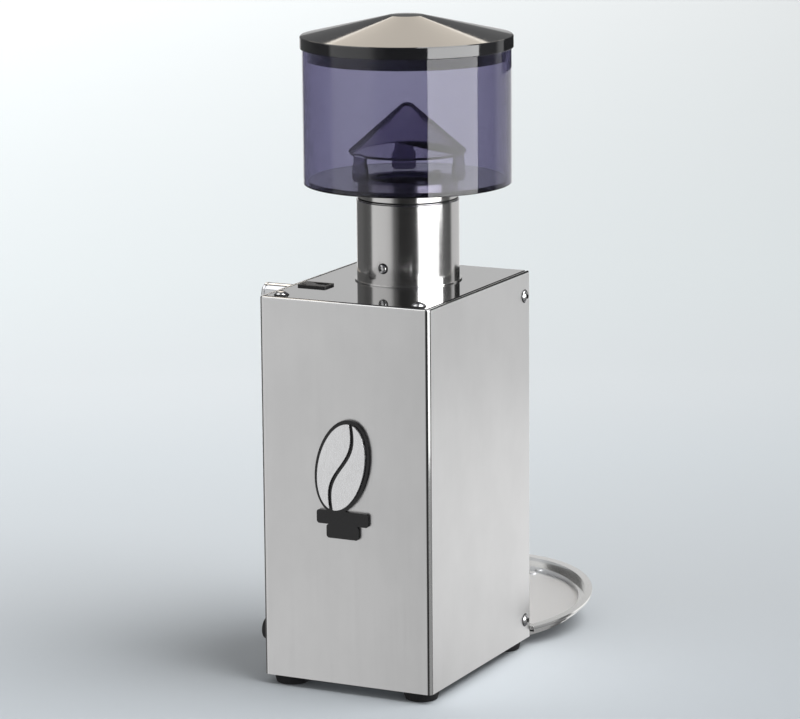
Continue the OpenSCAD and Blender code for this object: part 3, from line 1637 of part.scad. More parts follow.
casing_wrap();
front_panel();
top_plate();
base_plate();
plate_brackets();
rubber_feet();
foot_screws();
side_screws();
top_screws();
neck_tube();
neck_screw();
bean_funnel();
hopper_collar();
hopper_floor();
hopper_tube();
floor_screws();
bean_guard();
hopper_lid();
switch_housing();
switch_rocker();
adjusting_knob();
worm_shaft();
worm();
worm_bushes();
worm_bracket();
adjusting_ring();
ring_retainer();
chamber_cap();
chamber_bolts();
carrier_spring();
upper_carrier();
upper_burr();
burr_screws_upper();
chamber_body();
lower_carrier();
lower_burr();
burr_screws_lower();
shaft_bolt();
motor_shaft();
rotor_core();
stator_core();
stator_windings();
motor_shields();
bearing_outer_rings();
bearing_inner_rings();
bearing_balls();
motor_fan();
tie_bolts();
motor_mounts();
run_capacitor();
relay_board();
cord_gland();
dose_button();
button_switch();
spout();
filter_fork();
front_screws();
tray();
badge_plate();
badge_bean();
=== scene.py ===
"""The looks of an on-demand coffee grinder, laid out as an add-on and run as a script.

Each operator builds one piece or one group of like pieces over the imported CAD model, or gives the CAD
pieces that stay their finish. Lengths in the tables below are millimetres, in the CAD model's own frame.
"""

import math

import bmesh
import bpy
from bpy.props import FloatProperty, FloatVectorProperty, IntProperty, PointerProperty
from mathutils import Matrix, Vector


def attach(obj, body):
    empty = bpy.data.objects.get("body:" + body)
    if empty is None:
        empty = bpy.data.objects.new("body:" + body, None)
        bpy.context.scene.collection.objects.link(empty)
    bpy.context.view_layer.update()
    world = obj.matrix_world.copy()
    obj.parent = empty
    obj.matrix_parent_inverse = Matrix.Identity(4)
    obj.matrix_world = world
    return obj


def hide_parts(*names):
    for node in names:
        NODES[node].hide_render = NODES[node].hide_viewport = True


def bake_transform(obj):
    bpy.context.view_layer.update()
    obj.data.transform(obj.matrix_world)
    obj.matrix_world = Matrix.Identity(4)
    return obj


bl_info = {
    "name": "Coffee Grinder",
    "version": (1, 0, 0),
    "blender": (4, 5, 0),
    "location": "View3D > Sidebar > Grinder",
    "description": "Builds the visible pieces and finishes of an on-demand coffee grinder",
    "category": "Object",
}

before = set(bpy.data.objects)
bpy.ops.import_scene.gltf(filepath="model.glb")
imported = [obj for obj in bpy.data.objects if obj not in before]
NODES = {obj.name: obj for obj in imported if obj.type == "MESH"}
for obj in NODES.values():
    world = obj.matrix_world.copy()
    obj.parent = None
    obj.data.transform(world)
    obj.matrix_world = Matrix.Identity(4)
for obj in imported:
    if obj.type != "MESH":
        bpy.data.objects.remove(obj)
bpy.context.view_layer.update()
AXIS_Y = -17.7
TRAY_TILT = math.radians(6.5)
# How far a screw's shank reaches into its head, and how far a cut starts outside, in metres
HEAD_OVERLAP = 0.0002
CUT_OVERRUN = 0.001


def linear(text):
    """An sRGB hex colour as the linear values that Blender's sockets take."""
    values = []
    for i in (1, 3, 5):
        part = int(text[i:i + 2], 16) / 255
        values.append(part / 12.92 if part <= 0.04045 else ((part + 0.055) / 1.055) ** 2.4)
    return (*values, 1.0)


def metres(values):
    """Millimetres as a vector in metres."""
    return Vector(values) / 1000


# Settings


def colour_setting(label, description, value):
    """A colour to pick, from its hex value."""
    return FloatVectorProperty(
        name=label, description=description, subtype="COLOR", min=0, max=1, default=linear(value)[:3])


def length_setting(label, description, value):
    """A length to set, in metres."""
    return FloatProperty(name=label, description=description, unit="LENGTH", default=value)


class GRINDER_PG_steel(bpy.types.PropertyGroup):
    """Colours of the steel pieces"""

    brushed: colour_setting("Brushed sheet", "Colour of the case's brushed sheet", "#E6E6E6")
    polished: colour_setting("Polished plate", "Colour of the mirror polished top plate", "#CBCBCB")
    turned: colour_setting("Turned tube", "Colour of the neck and the hopper's collar", "#D4D3D2")
    chrome: colour_setting("Chrome", "Colour of the plated knob and screws", "#DCDDDF")


class GRINDER_PG_hopper(bpy.types.PropertyGroup):
    """Sizes and colours of the hopper and its lid"""

    radius: length_setting("Tube radius", "Outer radius of the hopper's tube", 0.0674)
    wall: length_setting("Wall", "Wall of the hopper's tube and floor", 0.003)
    tint: colour_setting("Tint", "What a wall of 3 mm lets through", "#B9B6C9")
    guard_tint: colour_setting("Guard tint", "What 3 mm of the bean guard lets through", "#C6C1D2")
    lid: colour_setting("Lid", "Colour of the glossy lid", "#242426")
    sides: IntProperty(
        name="Sides", description="Sides of each turned piece", min=48, max=256, default=192)


class GRINDER_PG_fasteners(bpy.types.PropertyGroup):
    """Sizes of the repeated pieces"""

    socket_radius: length_setting("Socket radius", "Radius of a screw's hexagon socket", 0.0017)
    socket_depth: length_setting("Socket depth", "Depth of a screw's hexagon socket", 0.0013)
    foot_height: length_setting("Foot height", "Height of a rubber foot", 0.0065)
    foot_radius: length_setting("Foot radius", "Radius of a foot against the base plate", 0.012)


class GRINDER_PG_stage(bpy.types.PropertyGroup):
    """Floor, light and camera"""

    key: FloatProperty(
        name="Key light", description="Strength of the soft key light on a surface that faces it",
        min=0, default=2.35)
    sky: FloatProperty(
        name="Sky light", description="Strength of the light from all round", min=0, default=0.4)
    lens: FloatProperty(
        name="Lens", description="Focal length of the camera, in millimetres", min=1, default=167.087)


# Materials


def node(tree, kind, sockets=None, **settings):
    """Add a node. sockets maps an input to its value, or to the output that feeds it."""
    made = tree.nodes.new(kind)
    for name, value in settings.items():
        setattr(made, name, value)
    for name, value in (sockets or {}).items():
        if isinstance(value, bpy.types.NodeSocket):
            tree.links.new(value, made.inputs[name])
        else:
            made.inputs[name].default_value = value
    return made


def colour_of(value):
    """A linear colour from a hex value, a setting's name, or one of them with a share to scale it by."""
    if isinstance(value, tuple):
        return [min(1.0, part * value[1]) for part in colour_of(value[0])[:3]]
    if value.startswith("#"):
        return linear(value)
    group, name = value.split(".")
    return getattr(getattr(bpy.context.scene, f"grinder_{group}"), name)


def surface(name, colour, roughness, metallic=0.0, sockets=None):
    """A new material with its plain values set on the shader's own sockets."""
    made = bpy.data.materials.new(name)
    made.use_nodes = True
    shader = made.node_tree.nodes["Principled BSDF"]
    made.diffuse_color = (*colour_of(colour)[:3], 1.0)
    plain = {"Base Color": made.diffuse_color, "Roughness": roughness, "Metallic": metallic}
    for key, value in {**plain, **(sockets or {})}.items():
        shader.inputs[key].default_value = value
    return made, made.node_tree, shader


def own_place(tree):
    """A point's place on its piece, in metres."""
    return node(tree, "ShaderNodeTexCoord").outputs["Object"]


def remapped(tree, value, low, high, first=0.0, last=1.0):
    """A value moved from one range to another."""
    return node(tree, "ShaderNodeMapRange", {
        "Value": value, "From Min": low, "From Max": high, "To Min": first, "To Max": last}).outputs["Result"]


def graded(tree, value, stops):
    """Colours that follow a value. stops holds each position with its linear colour."""
    made = node(tree, "ShaderNodeValToRGB", {"Fac": value})
    elements = made.color_ramp.elements
    while len(elements) < len(stops):
        elements.new(0.5)
    for element, (position, colour) in zip(elements, stops):
        element.position = position
        element.color = (*colour[:3], 1.0)
    return made.outputs["Color"]


def grain(tree, cell_mm, detail=2.0):
    """Noise whose cells have one size all round, or the given sizes along the piece's own X, Y and Z."""
    cells = cell_mm if isinstance(cell_mm, tuple) else (cell_mm,) * 3
    scaled = node(tree, "ShaderNodeMapping", {
        "Vector": own_place(tree), "Scale": [1000 / size for size in cells]})
    return node(tree, "ShaderNodeTexNoise", {
        "Vector": scaled.outputs["Vector"], "Scale": 1.0, "Detail": detail, "Roughness": 0.6}).outputs["Fac"]


def from_middle(tree, centre_mm):
    """A point's place seen from a middle."""
    return node(tree, "ShaderNodeVectorMath", {0: own_place(tree), 1: metres(centre_mm)},
                operation="SUBTRACT").outputs["Vector"]


def rings(tree, spacing_mm, centre_mm, tilt=0.0):
    """Noise that changes only with the distance from an upright axis, as turning or spinning leaves."""
    level = node(tree, "ShaderNodeMapping", {
        "Vector": from_middle(tree, centre_mm), "Rotation": (tilt, 0, 0), "Scale": (1, 1, 0)})
    away = node(tree, "ShaderNodeVectorMath", {0: level.outputs["Vector"]}, operation="LENGTH")
    return node(tree, "ShaderNodeTexNoise", {
        "W": away.outputs["Value"], "Scale": 1000 / spacing_mm, "Detail": 3.0, "Roughness": 0.7},
        noise_dimensions="1D").outputs["Fac"]


def dress(tree, shader, pattern, roughness=None, depth_mm=0.0, colours=None):
    """Let a pattern vary the roughness, the relief and the colour."""
    if roughness:
        tree.links.new(remapped(tree, pattern, 0.3, 0.7, *roughness), shader.inputs["Roughness"])
    if depth_mm:
        bump = node(tree, "ShaderNodeBump", {"Height": pattern, "Distance": depth_mm / 1000, "Strength": 1.0})
        before = shader.inputs["Normal"].links
        if before:
            tree.links.new(before[0].from_socket, bump.inputs["Normal"])
        tree.links.new(bump.outputs["Normal"], shader.inputs["Normal"])
    if colours:
        stops = [(position, colour_of(colour)) for position, colour in zip((0.35, 0.65), colours)]
        tree.links.new(graded(tree, pattern, stops), shader.inputs["Base Color"])


def absorb(tree, colour, thickness_mm=3.0):
    """Fill a clear piece with the dye that lets the colour through at the given thickness."""
    reach = [-math.log(part) * 1000 / thickness_mm for part in colour_of(colour)[:3]]
    # A quarter to spare keeps every part of the dye's own colour above zero
    density = max(reach) * 1.25
    dye = node(tree, "ShaderNodeVolumeAbsorption", {
        "Color": (*(1 - part / density for part in reach), 1.0), "Density": density})
    tree.links.new(dye.outputs["Volume"], tree.nodes["Material Output"].inputs["Volume"])


# Finishes made of noise alone. A row gives the colour, the roughness, how metallic it is and other
# sockets, then its layers: the noise's cell in millimetres, its detail, the roughness that it moves
# between, the depth of its relief in millimetres and the colours that it moves between.
NOISE_FINISHES = {
    # Stainless sheet, satin brushed upright: soft wide reflections with faint upright streaks.
    # Real grit lines are 0.1 mm apart, drawn 0.7 mm apart because finer ones don't show.
    "satin_brushed_stainless": (
        "steel.brushed", 0.34, 1.0, {"Anisotropic": 0.35}, ((0.7, 0.7, 60), 2, (0.31, 0.37), 0.004),
        ((45, 45, 60), 3, None, 0.0, (("steel.brushed", 0.97), ("steel.brushed", 1.02)))),
    # The same sheet where the press rolled it round: the tool leaves bends and hems nearly polished.
    "burnished_bend": (
        ("steel.brushed", 0.92), 0.11, 1.0, {}, ((2.5, 2.5, 40), 2, (0.09, 0.14), 0.002)),
    # Dull, dark steel at edges, in grooves and round screw sockets: painted shade, a dark line where these
    # gaps and edges fall into shadow.
    "dull_cut_steel": ("#2B2B2C", 0.55, 0.6, {}, ((6, 6, 0.3), 2, (0.45, 0.65), 0.01)),
    # Tray floor blasted with glass beads: an even, pale matt grey with no direction, 0.6 mm grain.
    "blasted_stainless": ("#CFD1D4", 0.5, 0.8, {}, (0.6, 3, (0.42, 0.56), 0.012)),
    # Sheet polished to a mirror: sharp reflections with hairline wiping marks, 1 mm apart.
    "mirror_polished_stainless": ("steel.polished", 0.05, 1.0, {}, ((30, 1.2, 4), 3, (0.035, 0.075), 0.0006)),
    # Tube turned and polished on a lathe: clear reflections, drawn out upright by rings 0.4 mm apart.
    "turned_stainless": ("steel.turned", 0.14, 1.0, {}, ((80, 80, 0.4), 3, (0.1, 0.18), 0.0035)),
    # Nickel and chrome plate over turned steel: a near mirror with very faint turning lines.
    "chrome_plate": ("steel.chrome", 0.06, 1.0, {}, ((0.5, 6, 6), 2, (0.05, 0.09), 0.0008)),
    # Plated screw heads: bright, with small wear round the socket from the key.
    "chrome_screw": ("#CFCFD0", 0.16, 1.0, {}, (1.2, 3, (0.12, 0.26), 0.01)),
    # Rolled sheet with bright zinc plate: a soft grey with cloudy patches 12 mm across.
    "zinc_plated_steel": ("#A9ACAE", 0.42, 1.0, {}, (12, 4, (0.34, 0.5), 0.01, ("#9EA2A6", "#B4B5B4"))),
    # Hardened steel off the grinder: dark and clean, with grinding lines 0.4 mm apart.
    "ground_tool_steel": ("#8F9295", 0.28, 1.0, {}, ((8, 0.4, 8), 2, (0.22, 0.34), 0.003)),
    # Sheets of electrical steel stacked 0.65 mm thick, varnished: dark bands across the stack.
    "stacked_laminations": (
        "#54585D", 0.5, 0.8, {}, ((400, 400, 0.65), 0, (0.4, 0.6), 0.06, ("#43474C", "#6A6E74"))),
    # Pressure die casting: pale and dull, with a skin of soft pits 1.5 mm across.
    "die_cast_aluminium": ("#B4B6B8", 0.5, 1.0, {}, (1.5, 4, (0.42, 0.6), 0.05, ("#A9ABAE", "#BCBEC0"))),
    # Brass cut on a lathe: warm, with tool rings 0.5 mm apart and a little tarnish.
    "machined_brass": ("#C29C56", 0.26, 1.0, {}, ((10, 10, 0.5), 2, (0.2, 0.32), 0.008),
                       (9, 4, None, 0.0, ("#AD8846", "#C9A560"))),
    # Rubber from a spark-eroded mould: black, dull and finely pitted, greyer where it is handled.
    "moulded_rubber": ("#1D1D1F", 0.7, 0.0, {"Specular IOR Level": 0.35},
                       (0.6, 3, (0.62, 0.8), 0.03, ("#19191B", "#262628"))),
    # Glass filled nylon from a textured mould: charcoal with a fine leathery skin, cells of 0.9 mm.
    "moulded_black_plastic": ("#202022", 0.45, 0.0, {}, (0.9, 2, (0.4, 0.54), 0.03, ("#1B1B1D", "#28282A"))),
    # ABS from a polished mould: deep black with clear reflections and the slight waviness of moulding.
    "gloss_black_plastic": ("#161618", 0.14, 0.0, {}, (14, 1, None, 0.02), (0.8, 2, (0.11, 0.2))),
    # Lid moulded in polished dark acrylic: a sharp dark mirror with dust and hairlines from wiping.
    "polished_lid": ("hopper.lid", 0.05, 0.0, {"IOR": 1.75}, (60, 1, None, 0.03), (1.5, 3, (0.035, 0.09))),
    # Polypropylene can: off-white and waxy, with shallow sink marks.
    "film_capacitor_case": ("#D6D6D0", 0.4, 0.0, {"Subsurface Weight": 0.1},
                            ((9, 9, 30), 2, (0.34, 0.48), 0.05, ("#CDCDC6", "#DEDED8"))),
    # Stove enamel in a stamped badge: glossy black with a slight orange peel of 2 mm.
    "badge_enamel": ("#101012", 0.2, 0.0, {}, (2, 1, (0.12, 0.22), 0.008)),
    # Satin chrome on the badge's relief: bright but soft, with fine wiping marks.
    "badge_chrome": ("#F6F6F7", 0.26, 0.92, {}, ((1, 1, 5), 2, (0.2, 0.32), 0.004)),
}


def spun_stainless():
    # Dish spun from sheet: fine rings round its own tilted middle, 0.5 mm apart.
    made, tree, shader = surface("spun_stainless", "#F0F0EF", 0.16, 1.0)
    dress(tree, shader, rings(tree, 0.5, (0, -123.0, 18.4), TRAY_TILT), (0.12, 0.2), 0.003)
    return made


def varnished_copper_wire():
    # Enamelled wire of 0.9 mm, wound round the stack and dipped in varnish: amber brown ridges,
    # drawn 1.8 mm apart because finer ones don't show.
    made, tree, shader = surface("varnished_copper_wire", "#A8591F", 0.3, 0.7, {"Coat Weight": 0.6})
    wires = node(tree, "ShaderNodeTexWave", {
        "Vector": from_middle(tree, (0, AXIS_Y, 0)), "Scale": 175.0, "Distortion": 1.2, "Detail": 1.0},
        wave_type="RINGS", rings_direction="Z").outputs["Fac"]
    dress(tree, shader, wires, depth_mm=0.25, colours=("#7C3C12", "#C06C2A"))
    return made


def glass_epoxy_board():
    # Printed circuit board: green solder mask over woven glass, whose weave of 0.8 mm just shows.
    made, tree, shader = surface("glass_epoxy_board", "#1D5A35", 0.32)
    weave = node(tree, "ShaderNodeTexChecker", {
        "Vector": own_place(tree), "Scale": 1250.0, "Color1": (1, 1, 1, 1), "Color2": (0, 0, 0, 1)})
    dress(tree, shader, weave.outputs["Fac"], (0.28, 0.4), 0.02, ("#17502D", "#246A40"))
    return made


def acrylic(name, roughness, tint, *waves):
    """Clear acrylic dyed in the mass, with the faint waves that its making leaves."""
    made, tree, shader = surface(name, "#FFFFFF", roughness, 0.0, {"IOR": 1.49, "Transmission Weight": 1.0})
    absorb(tree, tint)
    cell_mm, *effect = waves
    dress(tree, shader, grain(tree, cell_mm, 1), *effect)
    return made, tree, shader


def smoked_acrylic():
    # Clear acrylic tube, cast with a smoky violet dye: glossy, and darker where more of it is in line.
    return acrylic("smoked_acrylic", 0.02, "hopper.tint", (50, 50, 110), None, 0.05)[0]


def pale_acrylic():
    # Acrylic disc cut from sheet for the hopper's floor: the same violet, but with much less dye.
    return acrylic("pale_acrylic", 0.03, "#E6E5EC", 40, (0.02, 0.05), 0.03)[0]


def dark_acrylic():
    # Moulded acrylic with more dye, for the guard: nearly opaque violet black with clear edges. Its
    # legs, below their joint to the cone, are darker still.
    made, tree, shader = acrylic("dark_acrylic", 0.06, "hopper.guard_tint", 25, None, 0.06)
    joint_low, joint_high = 0.338, 0.3385
    height = node(tree, "ShaderNodeSeparateXYZ", {"Vector": own_place(tree)}).outputs["Z"]
    dress(tree, shader, remapped(tree, height, joint_low, joint_high), colours=("#8E899C", "#FFFFFF"))
    return made


OTHER_FINISHES = {made.__name__: made for made in (
    spun_stainless, varnished_copper_wire, glass_epoxy_board, smoked_acrylic, pale_acrylic, dark_acrylic)}


def finish_of(name):
    """The material of that name, built when it is first asked for."""
    ready = bpy.data.materials.get(name)
    if ready:
        return ready
    if name in OTHER_FINISHES:
        return OTHER_FINISHES[name]()
    colour, roughness, metallic, sockets, *layers = NOISE_FINISHES[name]
    made, tree, shader = surface(name, colour, roughness, metallic, sockets)
    for cell_mm, detail, *effect in layers:
        dress(tree, shader, grain(tree, cell_mm, detail), *effect)
    return made


# Shapes


def linked(name, data):
    """A new object at the origin, in the scene."""
    made = bpy.data.objects.new(name, data)
    bpy.context.scene.collection.objects.link(made)
    return made


def mesh_of(work, name):
    """A new mesh from a bmesh that has done its work."""
    mesh = bpy.data.meshes.new(name)
    work.to_mesh(mesh)
    work.free()
    return mesh


def new_object(name, mesh, finish):
    """An object at the origin that shows a mesh in one finish."""
    mesh.materials.append(finish_of(finish))
    return linked(name, mesh)


def crease(mesh, degrees=35.0):
    """Shade smooth, with the sharper edges kept sharp."""
    work = bmesh.new()
    work.from_mesh(mesh)
    for face in work.faces:
        face.smooth = True
    for edge in work.edges:
        edge.smooth = edge.calc_face_angle(0.0) < math.radians(degrees)
    work.to_mesh(mesh)
    work.free()


def settled(made):
    """Turn an object's modifiers into its plain mesh."""
    graph = bpy.context.evaluated_depsgraph_get()
    mesh = bpy.data.meshes.new_from_object(
        made.evaluated_get(graph), preserve_all_data_layers=True, depsgraph=graph)
    made.modifiers.clear()
    made.data = mesh
    mesh.name = made.name
    return mesh


def softened(made, width_mm=0.0, segments=2):
    """Round an object's sharp edges a little, and let its large faces keep their flat shading."""
    if width_mm:
        bevel = made.modifiers.new("edges", "BEVEL")
        bevel.width = width_mm / 1000
        bevel.segments = segments
        bevel.limit_method = "ANGLE"
        bevel.angle_limit = math.radians(35)
        bevel.use_clamp_overlap = True
    shading = made.modifiers.new("shading", "WEIGHTED_NORMAL")
    shading.keep_sharp = True
    shading.weight = 90
    settled(made)
    return made


def cad_copy(name, source, finish, bevel_mm=0.0, segments=2, lift_mm=0.0):
    """A copy of a CAD node whose loose triangles are joined into clean faces with softened edges."""
    mesh = bpy.data.meshes.new(name)
    old = NODES[source].data
    mesh.from_pydata([v.co + Vector((0, 0, lift_mm / 1000)) for v in old.vertices], [],
                     [tuple(p.vertices) for p in old.polygons])
    work = bmesh.new()
    work.from_mesh(mesh)
    bmesh.ops.remove_doubles(work, verts=work.verts, dist=2e-6)
    bmesh.ops.dissolve_limit(work, angle_limit=math.radians(0.4), verts=work.verts, edges=work.edges)
    work.to_mesh(mesh)
    work.free()
    crease(mesh)
    return softened(new_object(name, mesh, finish), bevel_mm, segments)


def accent(made, finish, chosen):
    """Give the faces that the test picks a finish of their own."""
    made.data.materials.append(finish_of(finish))
    for face in made.data.polygons:
        if chosen(face):
            face.material_index = len(made.data.materials) - 1


def rounded_outline(corners):
    """A closed outline. A corner is its distance from the axis, its height and, if rounded, its radius."""
    rounded = []
    for i, (x, z, *radius) in enumerate(corners):
        if not radius:
            rounded.append((x, z))
            continue
        here = Vector((x, z))
        before = Vector(corners[i - 1][:2]) - here
        after = Vector(corners[(i + 1) % len(corners)][:2]) - here
        half = before.angle(after) / 2
        reach = min(radius[0] / math.tan(half), before.length * 0.45, after.length * 0.45)
        start, end = here + before.normalized() * reach, here + after.normalized() * reach
        for t in (0, 0.25, 0.5, 0.75, 1):
            spot = start * (1 - t) ** 2 + here * 2 * t * (1 - t) + end * t * t
            rounded.append((spot.x, spot.y))
    return rounded


def lathe(name, corners, finish, centre_mm=(0, AXIS_Y, 0), along_x=False, sides=None, degrees=35.0):
    """A turned piece: a closed outline of radius and height, spun round an axis through the centre."""
    sides = sides or bpy.context.scene.grinder_hopper.sides
    outline = rounded_outline(corners)
    work = bmesh.new()
    columns = []
    poles = {}
    for k in range(sides):
        turn = 2 * math.pi * k / sides
        column = []
        for i, (radius, height) in enumerate(outline):
            if i in poles:
                column.append(poles[i])
                continue
            spot = Vector((radius * math.cos(turn), radius * math.sin(turn), height)) / 1000
            if along_x:
                spot = Vector((spot.z, spot.x, spot.y))
            column.append(work.verts.new(spot + metres(centre_mm)))
            if not radius:
                poles[i] = column[-1]
        columns.append(column)
    for k in range(sides):
        left, right = columns[k], columns[(k + 1) % sides]
        for i in range(len(outline)):
            j = (i + 1) % len(outline)
            around = list(dict.fromkeys((left[i], right[i], right[j], left[j])))
            if len(around) > 2:
                work.faces.new(around)
    bmesh.ops.recalc_face_normals(work, faces=work.faces)
    mesh = mesh_of(work, name)
    crease(mesh, degrees)
    return softened(new_object(name, mesh, finish))


def place_piece(made, body, slot, *nodes):
    """Let a finished piece ride on its body and stand for its CAD nodes."""
    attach(made, body)
    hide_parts(*nodes)


def cad_piece(name, source, finish, body, slot, *edges, **lift):
    """A copy of a CAD node that rides on its body and stands for it."""
    place_piece(cad_copy(name, source, finish, *edges, **lift), body, slot, source)


def seats(name, rows):
    """Points that carry the direction in which something stands on them."""
    mesh = bpy.data.meshes.new(name)
    mesh.from_pydata([metres(spot) for spot, _ in rows], [], [])
    facing = mesh.attributes.new("facing", "FLOAT_VECTOR", "POINT")
    facing.data.foreach_set("vector", [part for _, way in rows for part in way])
    return mesh


def new_tree(name, sizes):
    """An empty Geometry Nodes tree with named inputs for its sizes and its material."""
    tree = bpy.data.node_groups.new(name, "GeometryNodeTree")
    tree.is_modifier = True
    tree.interface.new_socket(name="Geometry", in_out="INPUT", socket_type="NodeSocketGeometry")
    for label, value in sizes.items():
        socket = tree.interface.new_socket(name=label, in_out="INPUT", socket_type="NodeSocketFloat")
        socket.default_value = value
    tree.interface.new_socket(name="Material", in_out="INPUT", socket_type="NodeSocketMaterial")
    tree.interface.new_socket(name="Geometry", in_out="OUTPUT", socket_type="NodeSocketGeometry")
    return tree, node(tree, "NodeGroupInput").outputs


def end_tree(tree, given, shape):
    """Put the shape on every point, turned to its facing, then realize it and give it its material."""
    facing = node(tree, "GeometryNodeInputNamedAttribute", {"Name": "facing"}, data_type="FLOAT_VECTOR")
    turned = node(tree, "FunctionNodeAlignRotationToVector", {"Vector": facing.outputs["Attribute"]},
                  axis="Z")
    copies = node(tree, "GeometryNodeInstanceOnPoints", {
        "Points": given["Geometry"], "Instance": shape, "Rotation": turned.outputs["Rotation"]})
    real = node(tree, "GeometryNodeRealizeInstances", {"Geometry": copies.outputs["Instances"]})
    coated = node(tree, "GeometryNodeSetMaterial", {
        "Geometry": real.outputs["Geometry"], "Material": given["Material"]})
    node(tree, "NodeGroupOutput", {"Geometry": coated.outputs["Geometry"]})
    return tree


def sum_of(tree, operation, first, second):
    """One step of arithmetic on sizes."""
    return node(tree, "ShaderNodeMath", {0: first, 1: second}, operation=operation).outputs["Value"]


def boolean(tree, operation, *shapes, cut=None):
    """Join closed shapes, keep what they share, or take them from the shape that is cut."""
    made = node(tree, "GeometryNodeMeshBoolean", operation=operation, solver="EXACT")
    if cut is not None:
        tree.links.new(cut, made.inputs["Mesh 1"])
    for shape in shapes:
        tree.links.new(shape, made.inputs["Mesh 2"])
    return made.outputs["Mesh"]


def raised(tree, shape, height):
    """A shape moved up by a height."""
    offset = node(tree, "ShaderNodeCombineXYZ", {"Z": height}).outputs["Vector"]
    return node(tree, "GeometryNodeTransform", {"Geometry": shape, "Translation": offset}).outputs["Geometry"]


def upright_cylinder(tree, radius, low, high, sides=48):
    """A cylinder between two heights."""
    tall = sum_of(tree, "SUBTRACT", high, low)
    middle = sum_of(tree, "MULTIPLY", sum_of(tree, "ADD", high, low), 0.5)
    made = node(tree, "GeometryNodeMeshCylinder", {"Vertices": sides, "Radius": radius, "Depth": tall})
    return raised(tree, made.outputs["Mesh"], middle)


def shank_of(tree, given):
    """A screw's shank, from its tip to just inside its head."""
    tip = sum_of(tree, "MULTIPLY", given["Shank Length"], -1.0)
    return upright_cylinder(tree, given["Shank Radius"], tip, HEAD_OVERLAP, sides=32)


def dome_screw_tree():
    """A domed screw with a hexagon socket on every point."""
    tree, given = new_tree("dome_screws", {
        "Head Radius": 0.0045, "Head Height": 0.0024, "Shank Radius": 0.002, "Shank Length": 0.007,
        "Socket Radius": 0.0017, "Socket Depth": 0.0013})
    square = sum_of(tree, "ADD", sum_of(tree, "POWER", given["Head Radius"], 2.0),
                    sum_of(tree, "POWER", given["Head Height"], 2.0))
    twice = sum_of(tree, "MULTIPLY", given["Head Height"], 2.0)
    dome = sum_of(tree, "DIVIDE", square, twice)
    ball = node(tree, "GeometryNodeMeshUVSphere", {"Segments": 64, "Rings": 48, "Radius": dome})
    ball = raised(tree, ball.outputs["Mesh"], sum_of(tree, "SUBTRACT", given["Head Height"], dome))
    drum = upright_cylinder(tree, given["Head Radius"], 0.0, given["Head Height"], sides=64)
    floor = sum_of(tree, "SUBTRACT", given["Head Height"], given["Socket Depth"])
    socket = upright_cylinder(tree, given["Socket Radius"], floor, twice, sides=6)
    head = boolean(tree, "DIFFERENCE", socket, cut=boolean(tree, "INTERSECT", ball, drum))
    return end_tree(tree, given, boolean(tree, "UNION", head, shank_of(tree, given)))


def slot_screw_tree():
    """A flat headed screw with a slot on every point."""
    tree, given = new_tree("slot_screws", {
        "Head Radius": 0.0038, "Head Height": 0.0022, "Shank Radius": 0.002, "Shank Length": 0.006})
    head = upright_cylinder(tree, given["Head Radius"], 0.0, given["Head Height"], sides=64)
    whole = boolean(tree, "UNION", head, shank_of(tree, given))
    size = node(tree, "ShaderNodeCombineXYZ", {
        "X": sum_of(tree, "MULTIPLY", given["Head Radius"], 3.0),
        "Y": sum_of(tree, "MULTIPLY", given["Head Radius"], 0.25),
        "Z": given["Head Height"]}).outputs["Vector"]
    bar = node(tree, "GeometryNodeMeshCube", {"Size": size}).outputs["Mesh"]
    slot = raised(tree, bar, given["Head Height"])
    return end_tree(tree, given, boolean(tree, "DIFFERENCE", slot, cut=whole))


def foot_tree():
    """A tapered foot with a recess for its screw on every point."""
    tree, given = new_tree("rubber_feet", {
        "Height": 0.0065, "Top Radius": 0.012, "Bottom Radius": 0.0105, "Recess Radius": 0.0048,
        "Recess Depth": 0.0035, "Bore Radius": 0.0021})
    cone = node(tree, "GeometryNodeMeshCone", {
        "Vertices": 96, "Radius Top": given["Top Radius"], "Radius Bottom": given["Bottom Radius"],
        "Depth": given["Height"]})
    recess = upright_cylinder(tree, given["Recess Radius"], -CUT_OVERRUN, given["Recess Depth"])
    bore = upright_cylinder(tree, given["Bore Radius"], -CUT_OVERRUN,
                            sum_of(tree, "ADD", given["Height"], CUT_OVERRUN), sides=32)
    return end_tree(tree, given, boolean(tree, "DIFFERENCE", recess, bore, cut=cone.outputs["Mesh"]))


def ball_tree():
    """A steel ball on every point."""
    tree, given = new_tree("bearing_balls", {"Radius": 0.0019})
    ball = node(tree, "GeometryNodeMeshUVSphere", {"Segments": 24, "Rings": 16, "Radius": given["Radius"]})
    return end_tree(tree, given, ball.outputs["Mesh"])


def from_tree(name, tree, rows, finish, **sizes):
    """A plain mesh object from a tree that runs on the given seats."""
    made = new_object(name, seats(name, rows), finish)
    run = made.modifiers.new("repeat", "NODES")
    run.node_group = tree
    sockets = {item.name: item.identifier for item in tree.interface.items_tree
               if getattr(item, "in_out", "") == "INPUT"}
    for label, value in sizes.items():
        run[sockets[label.replace("_", " ").title()]] = value
    run[sockets["Material"]] = finish_of(finish)
    mesh = settled(made)
    if not mesh.polygons:
        raise RuntimeError(f"{name} came out empty")
    crease(mesh)
    return made


def around_axis(radius, count, phase, height, way=(0, 0, 1)):
    """Seats on a circle round the grinding axis."""
    rows = []
    for k in range(count):
        turn = math.radians(phase + 360 * k / count)
        rows.append(((radius * math.cos(turn), AXIS_Y + radius * math.sin(turn), height), way))
    return rows


def refinish(names, finish):
    """Give CAD nodes that stay a finish."""
    for name in names:
        for slot in NODES[name].material_slots:
            slot.material = finish_of(finish)


# Operators


